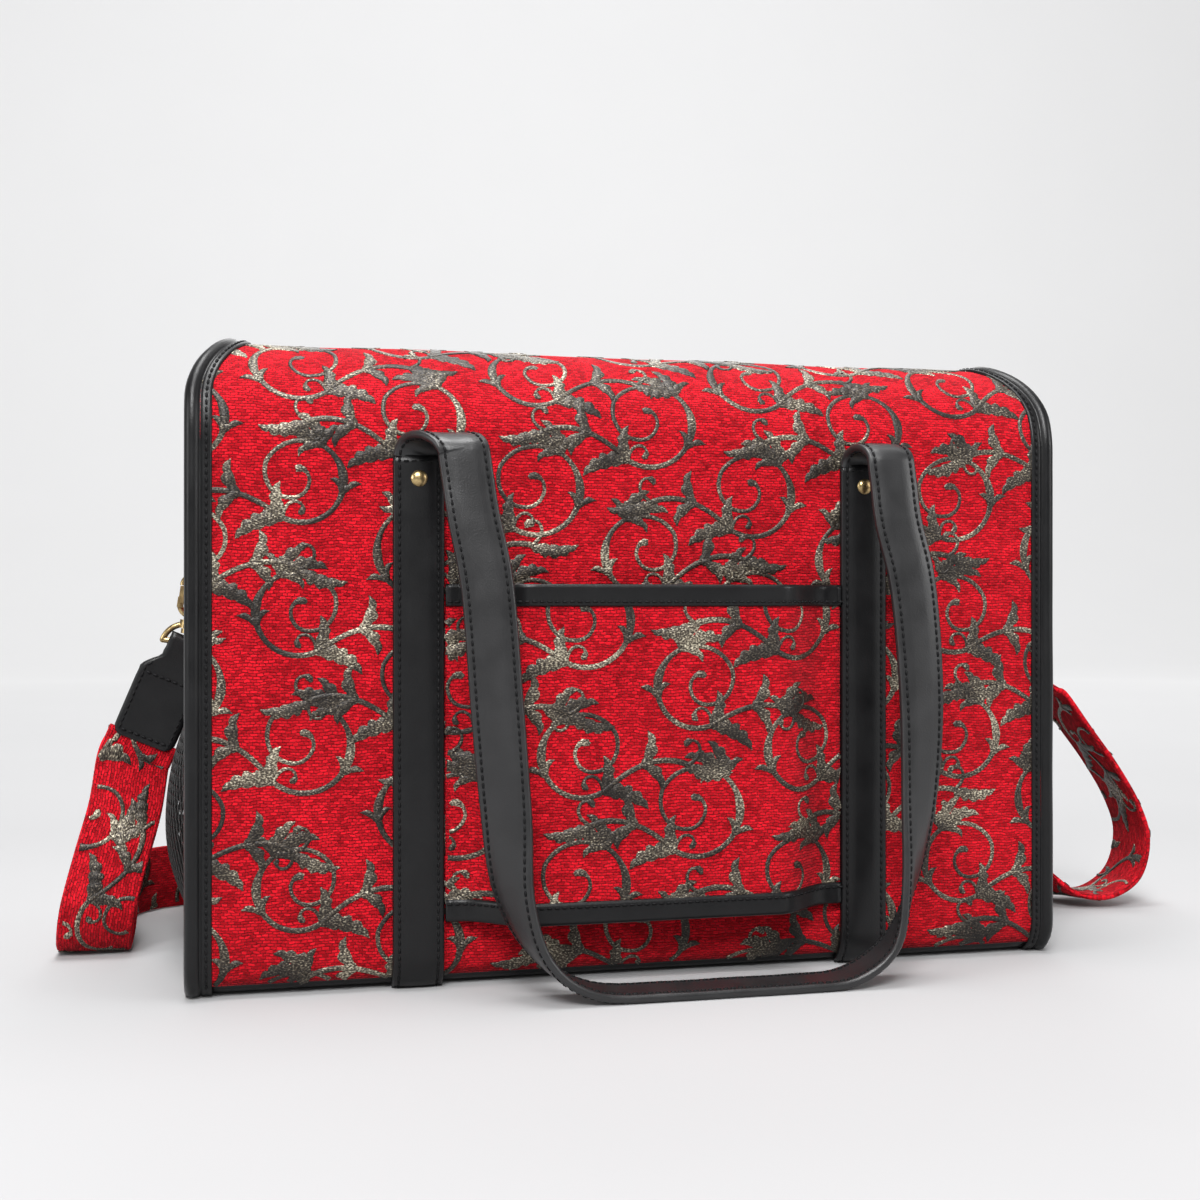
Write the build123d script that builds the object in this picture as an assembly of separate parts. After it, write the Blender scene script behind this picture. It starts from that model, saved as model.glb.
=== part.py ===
from build123d import *
import math
import os

# Body of the bag, in mm: X along the length, Y through the depth, Z up from the floor.
LENGTH = 450.0
DEPTH = 230.0
HEIGHT = 318.0
SHOULDER_RADIUS = 50.0
BASE_RADIUS = 18.0
LEAN_START = 285.0
LEAN = 18.0
WALL = 5.0
BASE_SEAM = 6.0
BOARD_THICK = 4.0
BOARD_GAP = 6.0

# Leather binding round each end, and the end wall set back inside it.
BINDING_WIDTH = 13.0
BINDING_PROUD = 1.5
END_RECESS = 10.0
END_THICK = 4.0

# Netting window in each end.
WINDOW_HALF = 90.0
WINDOW_LOW = 15.0
WINDOW_HIGH = 150.0
WINDOW_RADIUS = 22.0
NET_BULGE = 19.0
NET_THICK = 1.5
TRIM_WIDTH = 8.0
TRIM_THICK = 2.5

# Straps that carry the handles.
STRAP_WIDTH = 25.0
STRAP_THICK = 4.0
STRIP_CENTRE = 115.0
STRIP_TOP = 262.0
STRIP_FOOT = 1.5
RIVET_HEIGHT = 248.0
RIVET_RADIUS = 4.25
RIVET_DOME = 2.2

# Handles: each end folds over in a round knuckle, clear of the strip behind it.
KNUCKLE_HEIGHT = 262.0
KNUCKLE_RADIUS = 12.0
CLEARANCE = 0.3

# Trolley sleeve across the back.
SLEEVE_HALF = 102.0
SLEEVE_FLAT = 62.0
SLEEVE_LOW = 33.0
SLEEVE_HIGH = 197.0
SLEEVE_THICK = 1.6
SLEEVE_BULGE = 20.0
SLEEVE_BINDING = 11.0
BINDING_SKIN = 1.2

# Zipper along the top.
FACING_INNER = 5.0
FACING_OUTER = 24.0
TAPE_THICK = 2.0
CHAIN_HALF = 3.0
CHAIN_THICK = 3.0
END_TAB_LENGTH = 15.0
SLIDER_LENGTH = 11.4
SLIDER_HALF = 4.0
SLIDER_THICK = 1.8
EAR_THICK = 1.4
PIN_RADIUS = 0.9
PULL_LENGTH = 32.0
PULL_THICK = 2.0
EYE_RADIUS = 2.0
RUNNING = 0.06

# Metal rings and the shoulder strap.
RING_WIRE = 1.8
RING_HALF = 14.0
RING_DROP = 25.0
RING_LEAN_OUT = 5.2
RING_BAR_HEIGHT = 224.0
RING_TAB_HALF = 11.0
RING_TAB_TOP = 262.0
RING_TAB_THICK = 2.5
HOOK_WIRE = 1.6
HOOK_INNER = 4.0
HOOK_LEAN = 8.0
STEM_RADIUS = 2.0
STRAP_RING_DROP = 33.0
STRAP_RING_HALF = 12.0
END_LEAN = 23.0
TURNED_LEAN = 60.0
END_LENGTH = 58.0
END_WIDTH = 34.0
END_NECK = 17.6
END_PLATE = 7.0
LONG_STRAP_WIDTH = 38.0
LONG_STRAP_THICK = 3.6


def save(shape, node):
    """One STEP file for each piece."""
    shape.label = node
    export_step(shape, f"parts/{node}.step")


def span(x_range, y_range, z_range):
    """Box between two values on each axis."""
    sizes = [high - low for low, high in (x_range, y_range, z_range)]
    middle = [(high + low) / 2 for low, high in (x_range, y_range, z_range)]
    return Pos(*middle) * Box(*sizes)


def section(inset):
    """Outline across the bag, moved inwards by inset but never below the floor."""
    low = max(inset, 0)
    high = HEIGHT - inset
    outline = Plane.YZ * Pos(0, (low + high) / 2) * Rectangle(DEPTH - 2 * inset, high - low)
    outline = fillet(outline.vertices().group_by(Axis.Z)[-1], SHOULDER_RADIUS - inset)
    return fillet(outline.vertices().group_by(Axis.Z)[0], BASE_RADIUS - inset)


LEAN_RADIUS = ((HEIGHT - LEAN_START) ** 2 + LEAN ** 2) / (2 * LEAN)


def end_x(height, inset=0.0):
    """Distance of the end face from the middle at a height: upright, then curving in."""
    rise = max(height - LEAN_START, 0)
    return LENGTH / 2 - inset - LEAN_RADIUS + math.sqrt(LEAN_RADIUS ** 2 - rise ** 2)


def silhouette(inset):
    """Outline of the bag seen from the back, with both ends moved inwards by inset."""
    margin = 3.0
    top = HEIGHT + margin
    heights = (LEAN_START, (LEAN_START + top) / 2, top)
    side = [(end_x(height, inset), height) for height in heights]
    other = [(-x, z) for x, z in side]
    with BuildSketch(Plane.XZ) as sketch:
        with BuildLine():
            Line((-end_x(0, inset), -margin), (end_x(0, inset), -margin))
            Line((end_x(0, inset), -margin), side[0])
            ThreePointArc(*side)
            Line(side[2], other[2])
            ThreePointArc(*reversed(other))
            Line(other[0], (-end_x(0, inset), -margin))
        make_face()
    return sketch.sketch


def block(across, along):
    """Whole bag as one solid, inset by two separate amounts."""
    prism = extrude(section(across), amount=LENGTH, both=True)
    return prism & extrude(silhouette(along), amount=DEPTH, both=True)


BEYOND = -20.0
FAR = 400.0
MIDDLE_SHELL = block(0, BINDING_WIDTH) - block(WALL, BEYOND)
RAISED_SHELL = block(-BINDING_PROUD, BINDING_WIDTH) - block(WALL, BEYOND)


def mirrored(shape):
    """The same piece at the other end."""
    return mirror(shape, about=Plane.YZ)


def wall_panels():
    """Fabric walls from the base seam over the shoulders to the zipper, and the leather base."""
    for node, side in (("back_panel", -1), ("front_panel", 1)):
        y_range = sorted((side * FACING_OUTER, side * DEPTH))
        save(MIDDLE_SHELL & span((-FAR, FAR), y_range, (BASE_SEAM, FAR)), node)
    save(MIDDLE_SHELL & span((-FAR, FAR), (-FAR, FAR), (-1, BASE_SEAM)), "bottom_panel")
    half_length = end_x(0, END_RECESS + END_THICK + BOARD_GAP)
    half_depth = DEPTH / 2 - BASE_RADIUS
    board = span((-half_length, half_length), (-half_depth, half_depth), (WALL, WALL + BOARD_THICK))
    save(fillet(board.edges().filter_by(Axis.Z), 12), "base_board")


def bindings():
    """Leather band round the edge of each end."""
    ring = block(-BINDING_PROUD, 0) - block(WALL, BEYOND) - block(BEYOND, BINDING_WIDTH)
    right = ring & span((0, FAR), (-FAR, FAR), (-FAR, FAR))
    save(right, "right_binding")
    save(mirrored(right), "left_binding")


def window(grow, x_range):
    """Rounded block over the netting window, grown on all four sides."""
    centre = (WINDOW_LOW + WINDOW_HIGH) / 2
    high = WINDOW_HIGH - WINDOW_LOW + 2 * grow
    outline = RectangleRounded(2 * (WINDOW_HALF + grow), high, WINDOW_RADIUS + grow)
    face = Plane.YZ.offset(x_range[0]) * Pos(0, centre) * outline
    return extrude(face, amount=x_range[1] - x_range[0])


END_FACE = LENGTH / 2 - END_RECESS


def end_walls():
    """Fabric end walls with a window in each, seated inside the bindings."""
    wall = block(WALL, END_RECESS) - block(BEYOND, END_RECESS + END_THICK)
    right = wall & span((0, FAR), (-FAR, FAR), (-FAR, FAR))
    right -= window(0, (END_FACE - 3 * END_THICK, END_FACE + END_THICK))
    save(right, "right_end_panel")
    save(mirrored(right), "left_end_panel")


def net_pillow(shift):
    """Pillow that bulges out of the window, moved along X."""
    grow = 2.0
    face = END_FACE + shift
    crown = face + NET_BULGE
    low = WINDOW_LOW - grow
    high = WINDOW_HIGH + grow
    half = WINDOW_HALF + grow
    with BuildSketch(Plane.XZ) as upright:
        with BuildLine():
            ThreePointArc((face, low), (crown, (low + high) / 2), (face, high))
            Line((face, high), (face, low))
        make_face()
    with BuildSketch(Plane.XY) as level:
        with BuildLine():
            ThreePointArc((face, -half), (crown, 0), (face, half))
            Line((face, half), (face, -half))
        make_face()
    tall = extrude(upright.sketch, amount=DEPTH, both=True)
    return tall & extrude(level.sketch, amount=HEIGHT)


def nets():
    """Bulging net over each window, and the leather trim that holds its edge."""
    beyond = END_FACE + 2 * NET_BULGE
    flange_out = END_FACE + NET_THICK
    dome = net_pillow(0) - net_pillow(-NET_THICK)
    dome &= window(0, (END_FACE, beyond))
    flange = window(TRIM_WIDTH - 1, (END_FACE, flange_out)) - window(0, (END_FACE, flange_out))
    net = dome + flange
    save(net, "right_net")
    save(mirrored(net), "left_net")
    trim_range = (flange_out, flange_out + TRIM_THICK)
    trim = window(TRIM_WIDTH, trim_range) - window(0, trim_range)
    save(trim, "right_net_trim")
    save(mirrored(trim), "left_net_trim")


def strips():
    """Four leather strips up the walls, following the round foot of the bag."""
    band = block(-STRAP_THICK, BINDING_WIDTH) - block(0, BEYOND)
    for wall, y_range in (("back", (-FAR, 0)), ("front", (0, FAR))):
        for end, centre in (("left", -STRIP_CENTRE), ("right", STRIP_CENTRE)):
            x_range = (centre - STRAP_WIDTH / 2, centre + STRAP_WIDTH / 2)
            save(band & span(x_range, y_range, (STRIP_FOOT, STRIP_TOP)), f"{wall}_{end}_strip")


def rivets():
    """Four domed rivets, one near the top of each strip."""
    sphere_radius = (RIVET_RADIUS ** 2 + RIVET_DOME ** 2) / (2 * RIVET_DOME)
    face = DEPTH / 2 + STRAP_THICK
    ball = Pos(0, face + RIVET_DOME - sphere_radius, RIVET_HEIGHT) * Sphere(sphere_radius)
    dome = ball & span((-FAR, FAR), (face, FAR), (0, FAR))
    heads = []
    for centre in (-STRIP_CENTRE, STRIP_CENTRE):
        head = Pos(centre, 0, 0) * dome
        heads.append(head)
        heads.append(mirror(head, about=Plane.XZ))
    save(Compound(children=[part.solid() for part in heads]), "rivets")


def sleeve_y(x, out):
    """Y of the sleeve at x: flat on the wall at its sides, rising smoothly to the bulge."""
    seam = 6.0
    share = (SLEEVE_HALF - seam - abs(x)) / (SLEEVE_HALF - seam - SLEEVE_FLAT)
    share = min(max(share, 0), 1)
    return -DEPTH / 2 - SLEEVE_BULGE * share * share * (3 - 2 * share) - out


def sleeve_band(inner, outer, low, high):
    """Band that follows the sleeve between two offsets and two heights."""
    steps = 8
    slope = [SLEEVE_HALF - (SLEEVE_HALF - SLEEVE_FLAT) * i / steps for i in range(steps + 1)]
    xs = slope + [-x for x in reversed(slope)]
    near = [(x, sleeve_y(x, outer)) for x in xs]
    wall_side = [(x, sleeve_y(x, inner)) for x in reversed(xs)]
    face = make_face(Polyline(*near, *wall_side, close=True))
    return Pos(0, 0, low) * extrude(face, amount=high - low, dir=(0, 0, 1))


def sleeve():
    """Trolley sleeve, open at the top and bottom, with a bound edge at each opening."""
    hem = 2.0
    outer = BINDING_SKIN + SLEEVE_THICK
    fabric = sleeve_band(BINDING_SKIN, outer, SLEEVE_LOW + hem, SLEEVE_HIGH - hem)
    save(fabric, "trolley_sleeve")
    edges = (
        ("sleeve_top_binding", SLEEVE_HIGH - SLEEVE_BINDING),
        ("sleeve_bottom_binding", SLEEVE_LOW),
    )
    for node, low in edges:
        save(sleeve_band(0, outer + BINDING_SKIN, low, low + SLEEVE_BINDING) - fabric, node)


def zipper():
    """Leather facings, woven tape, chain and end tabs along the top."""
    top_half = end_x(HEIGHT, BINDING_WIDTH)
    for node, side in (("back_facing", -1), ("front_facing", 1)):
        y_range = sorted((side * FACING_INNER, side * FACING_OUTER))
        save(RAISED_SHELL & span((-FAR, FAR), y_range, (HEIGHT - 2 * WALL, FAR)), node)
    floor = HEIGHT - WALL
    tape_top = floor + TAPE_THICK
    chain_top = tape_top + CHAIN_THICK
    gap = (-FACING_INNER, FACING_INNER)
    save(span((-top_half, top_half), gap, (floor, tape_top)), "zipper_tape")
    chain_half = top_half - END_TAB_LENGTH
    chain = span((-chain_half, chain_half), (-CHAIN_HALF, CHAIN_HALF), (tape_top, chain_top))
    save(chain, "zipper_chain")
    tab = RAISED_SHELL & span((chain_half, FAR), gap, (tape_top, FAR))
    save(tab, "right_zipper_tab")
    save(mirrored(tab), "left_zipper_tab")
    sliders(chain_top + 2 * CLEARANCE / 3)


def sliders(base):
    """Two sliders that meet in the middle, each with a pull on a cross pin."""
    inner = 2 * CLEARANCE
    outer = inner + SLIDER_LENGTH
    pin_x = outer + EYE_RADIUS + 0.5
    pin_z = HEIGHT + BINDING_PROUD + CLEARANCE + EYE_RADIUS
    top = base + SLIDER_THICK
    body = span((inner, outer), (-SLIDER_HALF, SLIDER_HALF), (base, top))
    ear_in = CHAIN_HALF + CLEARANCE
    ear_out = ear_in + EAR_THICK
    ear_x = (outer - 4, pin_x + EYE_RADIUS)
    for side in (-1, 1):
        y_range = sorted((side * ear_in, side * ear_out))
        body += span(ear_x, y_range, (base, pin_z + EYE_RADIUS))
    across = Plane((pin_x, 0, pin_z), x_dir=(1, 0, 0), z_dir=(0, 1, 0))
    body += across * Cylinder(PIN_RADIUS, 2 * ear_out)
    pull_half = ear_in - CLEARANCE
    pull = across * Cylinder(EYE_RADIUS, 2 * pull_half)
    plate_z = (pin_z - EYE_RADIUS, pin_z - EYE_RADIUS + PULL_THICK)
    pull += span((pin_x, pin_x + PULL_LENGTH), (-pull_half, pull_half), plate_z)
    pull -= across * Cylinder(PIN_RADIUS + RUNNING, 2 * ear_out)
    for end, place in (("right", lambda part: part), ("left", mirrored)):
        save(place(body), f"{end}_slider")
        save(place(pull), f"{end}_pull")
    print("pull hinge", pin_x, pin_z)


def rod(start, end, radius):
    """Straight round bar between two points."""
    line = Vector(*end) - Vector(*start)
    plane = Plane(origin=start, z_dir=line)
    return plane * Pos(0, 0, line.length / 2) * Cylinder(radius, line.length)


def arc_rod(start, middle, end, radius):
    """Round bar bent along an arc through three points."""
    path = ThreePointArc(start, middle, end)
    profile = Plane(origin=path @ 0, z_dir=path % 0) * Circle(radius)
    return sweep(profile, path)


def hanging(lean, origin):
    """Plane at the left end whose x runs outwards and y runs down, leaning out by an angle."""
    angle = math.radians(lean)
    down = Vector(-math.sin(angle), 0, -math.cos(angle))
    outwards = Vector(-math.cos(angle), 0, math.sin(angle))
    return Plane(origin=origin, x_dir=outwards, z_dir=outwards.cross(down))


RING_BAR_X = -(END_FACE + RING_TAB_THICK + RING_WIRE)
RING_BOTTOM = Vector(RING_BAR_X - RING_LEAN_OUT, 0, RING_BAR_HEIGHT - RING_DROP)
HOOK_PLANE = hanging(HOOK_LEAN, RING_BOTTOM)
STRAP_RING_BAR = HOOK_PLANE.from_local_coords(Vector(0, STRAP_RING_DROP, 0))
END_PLANE = hanging(END_LEAN, STRAP_RING_BAR)
TURNED_OUT = hanging(TURNED_LEAN, STRAP_RING_BAR).x_dir
TURNED_PLANE = Plane(origin=STRAP_RING_BAR, x_dir=(0, 1, 0), z_dir=TURNED_OUT)


def save_pair(part, node):
    """A piece of the left end and its copy at the right end."""
    save(part, f"left_{node}")
    save(mirrored(part), f"right_{node}")


def d_rings():
    """Leather tab on each end wall and the D-ring that hangs in it."""
    tab = block(WALL, END_RECESS - RING_TAB_THICK) - block(BEYOND, END_RECESS)
    low = RING_BAR_HEIGHT
    half = (-RING_TAB_HALF, RING_TAB_HALF)
    tab = tab & span((-FAR, 0), half, (low, RING_TAB_TOP))
    bar_left = (RING_BAR_X, -RING_HALF, RING_BAR_HEIGHT)
    bar_right = (RING_BAR_X, RING_HALF, RING_BAR_HEIGHT)
    loop_left = (RING_BAR_X, -RING_TAB_HALF, RING_BAR_HEIGHT)
    loop_right = (RING_BAR_X, RING_TAB_HALF, RING_BAR_HEIGHT)
    tab += rod(loop_left, loop_right, RING_WIRE + RING_TAB_THICK - 0.2)
    tab -= rod(bar_left, bar_right, RING_WIRE + RUNNING)
    save_pair(tab, "ring_tab")
    drop = math.hypot(RING_DROP, RING_LEAN_OUT)
    share = (drop - RING_HALF) / drop
    knee_x = RING_BAR_X - RING_LEAN_OUT * share
    knee_z = RING_BAR_HEIGHT - RING_DROP * share
    knee_left = (knee_x, -RING_HALF, knee_z)
    knee_right = (knee_x, RING_HALF, knee_z)
    ring = rod(bar_left, bar_right, RING_WIRE)
    ring += rod(bar_left, knee_left, RING_WIRE) + rod(bar_right, knee_right, RING_WIRE)
    ring += Pos(*bar_left) * Sphere(RING_WIRE) + Pos(*bar_right) * Sphere(RING_WIRE)
    ring += arc_rod(knee_left, tuple(RING_BOTTOM), knee_right, RING_WIRE)
    save_pair(ring, "d_ring")


def hook_point(out, down, across=0.0):
    """Point on the hanging hook, in mm outwards and down from the D-ring."""
    return tuple(HOOK_PLANE.from_local_coords(Vector(out, down, across)))


def bar_point(across, turned):
    """Point on the bar of a strap ring, in mm from its middle: a turned ring faces along the bag."""
    if turned:
        return hook_point(0, STRAP_RING_DROP, across)
    return hook_point(across, STRAP_RING_DROP)


def strap_ring(collar, turned):
    """Half-round ring whose collar runs on the hook's stem, for the left end."""
    bar_in = bar_point(-STRAP_RING_HALF, turned)
    bar_out = bar_point(STRAP_RING_HALF, turned)
    ring = rod(bar_in, bar_out, HOOK_WIRE)
    ring += arc_rod(bar_in, hook_point(0, sum(collar) / 2), bar_out, HOOK_WIRE)
    ring += Pos(*bar_in) * Sphere(HOOK_WIRE) + Pos(*bar_out) * Sphere(HOOK_WIRE)
    ring += rod(hook_point(0, collar[0]), hook_point(0, collar[1]), 2 * STEM_RADIUS + 0.5)
    return ring - rod(hook_point(0, collar[0] - 1), hook_point(0, collar[1] + 1), STEM_RADIUS + RUNNING)


def hooks():
    """Snap hooks with a sprung gate, and the strap ring that each one swivels in."""
    middle = HOOK_INNER + HOOK_WIRE
    crown = HOOK_INNER - RING_WIRE - CLEARANCE
    leg_end = 12.6
    nose_end = crown + 0.5
    pivot = 10.6
    collar = (20.8, 25.3)
    top = hook_point(0, crown - middle)
    hook = arc_rod(hook_point(-middle, crown), top, hook_point(middle, crown), HOOK_WIRE)
    hook += rod(hook_point(middle, crown), hook_point(middle, nose_end), HOOK_WIRE)
    hook += rod(hook_point(-middle, crown), hook_point(-middle, leg_end), HOOK_WIRE)
    low = hook_point(0, leg_end + middle)
    hook += arc_rod(hook_point(-middle, leg_end), low, hook_point(middle, leg_end), HOOK_WIRE)
    hook += rod(hook_point(0, leg_end + middle - 1), hook_point(0, collar[1] + 1), STEM_RADIUS)
    hook += rod(hook_point(0, collar[1] + CLEARANCE), hook_point(0, collar[1] + 2.8), STEM_RADIUS + 1.3)
    cheek_in = HOOK_WIRE + 0.05
    pin_radius = 0.8
    for side in (-1, 1):
        cheek = Pos(middle, (pivot + leg_end) / 2, side * (cheek_in + 0.4)) * Box(3.2, 5.6, 0.8)
        hook += HOOK_PLANE * cheek
        hook += HOOK_PLANE * Pos(middle, leg_end + 0.8, side * cheek_in / 2) * Box(3.2, 1.6, cheek_in)
    pin_ends = [hook_point(middle, pivot, side * (cheek_in + 0.4)) for side in (-1, 1)]
    hook += rod(*pin_ends, pin_radius)
    save_pair(hook, "hook")
    gate_half = HOOK_WIRE - 0.2
    eye_low = hook_point(middle, pivot, -gate_half)
    eye_high = hook_point(middle, pivot, gate_half)
    gate = rod(eye_low, eye_high, 1.6)
    reach = pivot - nose_end - CLEARANCE
    bar = Pos(middle, pivot - reach / 2, 0) * Box(2.4, reach, 2 * gate_half)
    gate += HOOK_PLANE * bar
    gate -= rod(*pin_ends, pin_radius + RUNNING)
    save_pair(gate, "gate")
    save(strap_ring(collar, False), "left_strap_ring")
    save(mirrored(strap_ring(collar, True)), "right_strap_ring")
    print("hook pivot", hook_point(0, 0), "gate pivot", hook_point(middle, pivot))


def strap_end(plane, turned):
    """Leather end of the shoulder strap: a neck round the ring's bar and a wider tab."""
    neck_start = 2.0
    neck_end = 12.0
    tab_start = 20.0
    outline = Polyline(
        (-END_NECK / 2, neck_start),
        (-END_NECK / 2, neck_end),
        (-END_WIDTH / 2, tab_start),
        (-END_WIDTH / 2, END_LENGTH),
        (END_WIDTH / 2, END_LENGTH),
        (END_WIDTH / 2, tab_start),
        (END_NECK / 2, neck_end),
        (END_NECK / 2, neck_start),
        close=True,
    )
    tab = extrude(plane * make_face(outline), amount=END_PLATE / 2, both=True)
    loop = [bar_point(side * END_NECK / 2, turned) for side in (-1, 1)]
    tab += rod(*loop, END_PLATE / 2)
    reach = STRAP_RING_HALF + 1
    bar = [bar_point(side * reach, turned) for side in (-1, 1)]
    return tab - rod(*bar, HOOK_WIRE + RUNNING)


def strap_ends():
    """Both leather ends: the right one is turned on its swivel and swung out."""
    save(strap_end(END_PLANE, False), "left_strap_end")
    save(mirrored(strap_end(TURNED_PLANE, True)), "right_strap_end")


def smooth(stations, steps):
    """Stations joined by a smooth curve: every station is kept, with steps between two of them."""
    route = []
    last = len(stations) - 1
    for i in range(last):
        around = [stations[min(max(i + k, 0), last)] for k in (-1, 0, 1, 2)]
        for j in range(steps):
            t = j / steps
            before, start, end, after = around
            route.append([
                b + 0.5 * t * (c - a + t * (2 * a - 5 * b + 4 * c - d + t * (3 * (b - c) + d - a)))
                for a, b, c, d in zip(before, start, end, after)
            ])
    route.append(list(stations[-1]))
    return route


def ribbon(stations, width, thick, steps):
    """Flat strap through stations of a centre point and a direction across the strap."""
    route = smooth(stations, steps)
    sections = []
    for i, station in enumerate(route):
        centre = Vector(*station[:3])
        ahead = Vector(*route[min(i + 1, len(route) - 1)][:3])
        behind = Vector(*route[max(i - 1, 0)][:3])
        across = Vector(*station[3:])
        along = (ahead - behind).normalized()
        across = (across - along * across.dot(along)).normalized()
        plane = Plane(origin=centre, x_dir=across, z_dir=along)
        sections.append(plane * Rectangle(width, thick))
    return loft(sections, ruled=True)


def straight_run(plane, across):
    """First stations of the strap, in line with a leather end."""
    points = [plane.from_local_coords(Vector(0, END_LENGTH + d, 0)) for d in (0, 5, 12)]
    return [(point.X, point.Y, point.Z, *across) for point in points]


def shoulder_strap():
    """Strap from end to end: down to the floor, then on edge round the corners and the front."""
    half = LONG_STRAP_WIDTH / 2
    on_edge = half + CLEARANCE
    turn_x = LENGTH / 2
    turn_radius = 40.0
    run_y = DEPTH / 2 + STRAP_THICK + 2 * CLEARANCE + LONG_STRAP_THICK / 2
    turn_y = run_y - turn_radius
    lean = math.radians(END_LEAN)
    left = straight_run(END_PLANE, (math.cos(lean), 0, -math.sin(lean)))
    left += [
        (-260, -4, 78, 0.94, 0, -0.34),
        (-267, -11, 51, 0.97, 0, -0.25),
        (-273, -16, 26, 1, 0, -0.1),
        (-275.5, -9, 9, 1, 0, 0),
        (-276, 6, 2.6, 1, 0, 0),
    ]
    twist_steps = 4
    for i in range(1, twist_steps + 1):
        share = i / twist_steps
        roll = math.radians(90 * share)
        x = -276 + (276 - turn_x - turn_radius) * share
        y = 6 + (turn_y - 6) * share
        rise = half * math.sin(roll) + 2.6 * math.cos(roll) + CLEARANCE * share
        left.append((x, y, rise, math.cos(roll), 0, math.sin(roll)))
    right = straight_run(TURNED_PLANE, (0, -1, 0))
    right += [
        (-306, 0, 110, 0, -1, 0),
        (-323, 0, 88, 0, -1, 0),
        (-338, 0, 64, 0, -1, 0),
        (-345, 0, 42, 0, -1, 0),
        (-339, 0, 19, 0, -1, 0),
        (-321, 1, 7, 0, -1, 0.05),
        (-301, 4, 7.5, 0, -1, 0.12),
        (-283, 14, 15.6, 0, -0.85, 0.5),
        (-270, 34, 19.6, 0, -0.45, 0.85),
        (-265, 60, 19.6, 0, -0.1, 1),
        (-turn_x - turn_radius, turn_y, on_edge, 0, 0, 1),
    ]
    turn_steps = 4
    turn = []
    for i in range(1, turn_steps + 1):
        angle = math.radians(90 * i / turn_steps)
        x = -turn_x - turn_radius * math.cos(angle)
        y = turn_y + turn_radius * math.sin(angle)
        turn.append((x, y, on_edge, 0, 0, 1))
    for x in (-150.0, -75.0):
        turn.append((x, run_y, on_edge, 0, 0, 1))
    back_again = [(-x, y, z, -a, b, c) for x, y, z, a, b, c in reversed(right + turn)]
    route = left + turn + [(0, run_y, on_edge, 0, 0, 1)] + back_again
    save(ribbon(route, LONG_STRAP_WIDTH, LONG_STRAP_THICK, 3), "shoulder_strap")


def handle(side):
    """Carrying handle hanging from two knuckles, its loop turned edgeways where it meets the floor."""
    face = DEPTH / 2 + STRAP_THICK + CLEARANCE
    axis_y = -(face + KNUCKLE_RADIUS)
    leg_y = axis_y - KNUCKLE_RADIUS + STRAP_THICK / 2
    top = KNUCKLE_HEIGHT
    # x, how far out from the top of the leg, z, and turn of the strap in degrees.
    route = [
        (-96, 0, top, 0),
        (-93, 2.5, top - 25, 0),
        (-86, 6.5, 195, 6),
        (-82, 9.5, 140, 20),
        (-78, 11, 90, 45),
        (-74, 11.5, 50, 70),
        (-60, 11.5, 20, 85),
        (-36, 11.5, 4.5, 90),
        (0, 11.5, 2.4, 90),
        (34, 11.5, 2.4, 90),
        (66, 11.5, 2.4, 90),
        (93, 11.5, 4.5, 90),
        (115, 11.5, 20, 95),
        (125, 11.5, 50, 110),
        (130, 11, 90, 135),
        (132, 9.5, 140, 160),
        (129, 6.5, 195, 174),
        (123, 2.5, top - 25, 180),
        (120, 0, top, 180),
    ]
    stations = []
    for x, out, z, turn in route:
        angle = math.radians(turn)
        stations.append((x, leg_y - out, z, math.cos(angle), -math.sin(angle), 0))
    body = ribbon(stations, STRAP_WIDTH, STRAP_THICK, 3)
    for x in (-106, STRIP_CENTRE + 2):
        left = (x - STRAP_WIDTH / 2, axis_y, top)
        right = (x + STRAP_WIDTH / 2, axis_y, top)
        knuckle = rod(left, right, KNUCKLE_RADIUS) - rod(left, right, KNUCKLE_RADIUS - STRAP_THICK)
        body += knuckle
    if side == "front":
        body = Rot(0, 0, 180) * body
    save(body, f"{side}_handle")
    print("handle hinge", axis_y, top)


os.makedirs("parts", exist_ok=True)
wall_panels()
bindings()
end_walls()
nets()
strips()
rivets()
sleeve()
zipper()
d_rings()
hooks()
strap_ends()
shoulder_strap()
handle("back")
handle("front")
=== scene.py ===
import math
import random

import bpy
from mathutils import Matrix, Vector, noise


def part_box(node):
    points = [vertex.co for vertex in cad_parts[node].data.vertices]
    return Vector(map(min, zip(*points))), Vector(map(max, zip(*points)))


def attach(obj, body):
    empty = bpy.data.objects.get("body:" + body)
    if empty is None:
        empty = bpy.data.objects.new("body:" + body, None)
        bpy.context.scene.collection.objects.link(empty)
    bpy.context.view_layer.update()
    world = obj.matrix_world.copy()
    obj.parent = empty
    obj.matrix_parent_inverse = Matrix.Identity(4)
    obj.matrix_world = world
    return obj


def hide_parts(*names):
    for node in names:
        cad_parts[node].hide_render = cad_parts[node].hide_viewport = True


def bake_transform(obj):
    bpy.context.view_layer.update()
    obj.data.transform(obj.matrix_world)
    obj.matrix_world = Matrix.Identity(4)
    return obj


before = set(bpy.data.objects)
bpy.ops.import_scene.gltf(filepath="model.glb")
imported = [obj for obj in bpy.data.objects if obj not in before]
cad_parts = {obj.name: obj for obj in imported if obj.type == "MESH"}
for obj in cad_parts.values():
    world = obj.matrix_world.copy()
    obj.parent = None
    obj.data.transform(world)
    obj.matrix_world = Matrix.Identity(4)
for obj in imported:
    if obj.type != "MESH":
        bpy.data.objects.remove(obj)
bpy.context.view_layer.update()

# Stage. The bag stands on a plain pale floor that curves up into a backdrop behind it and glows a
# little further off. Large soft lights hang in front, above, at both sides and behind.
scene = bpy.context.scene
scene.view_settings.view_transform = "Standard"

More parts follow.
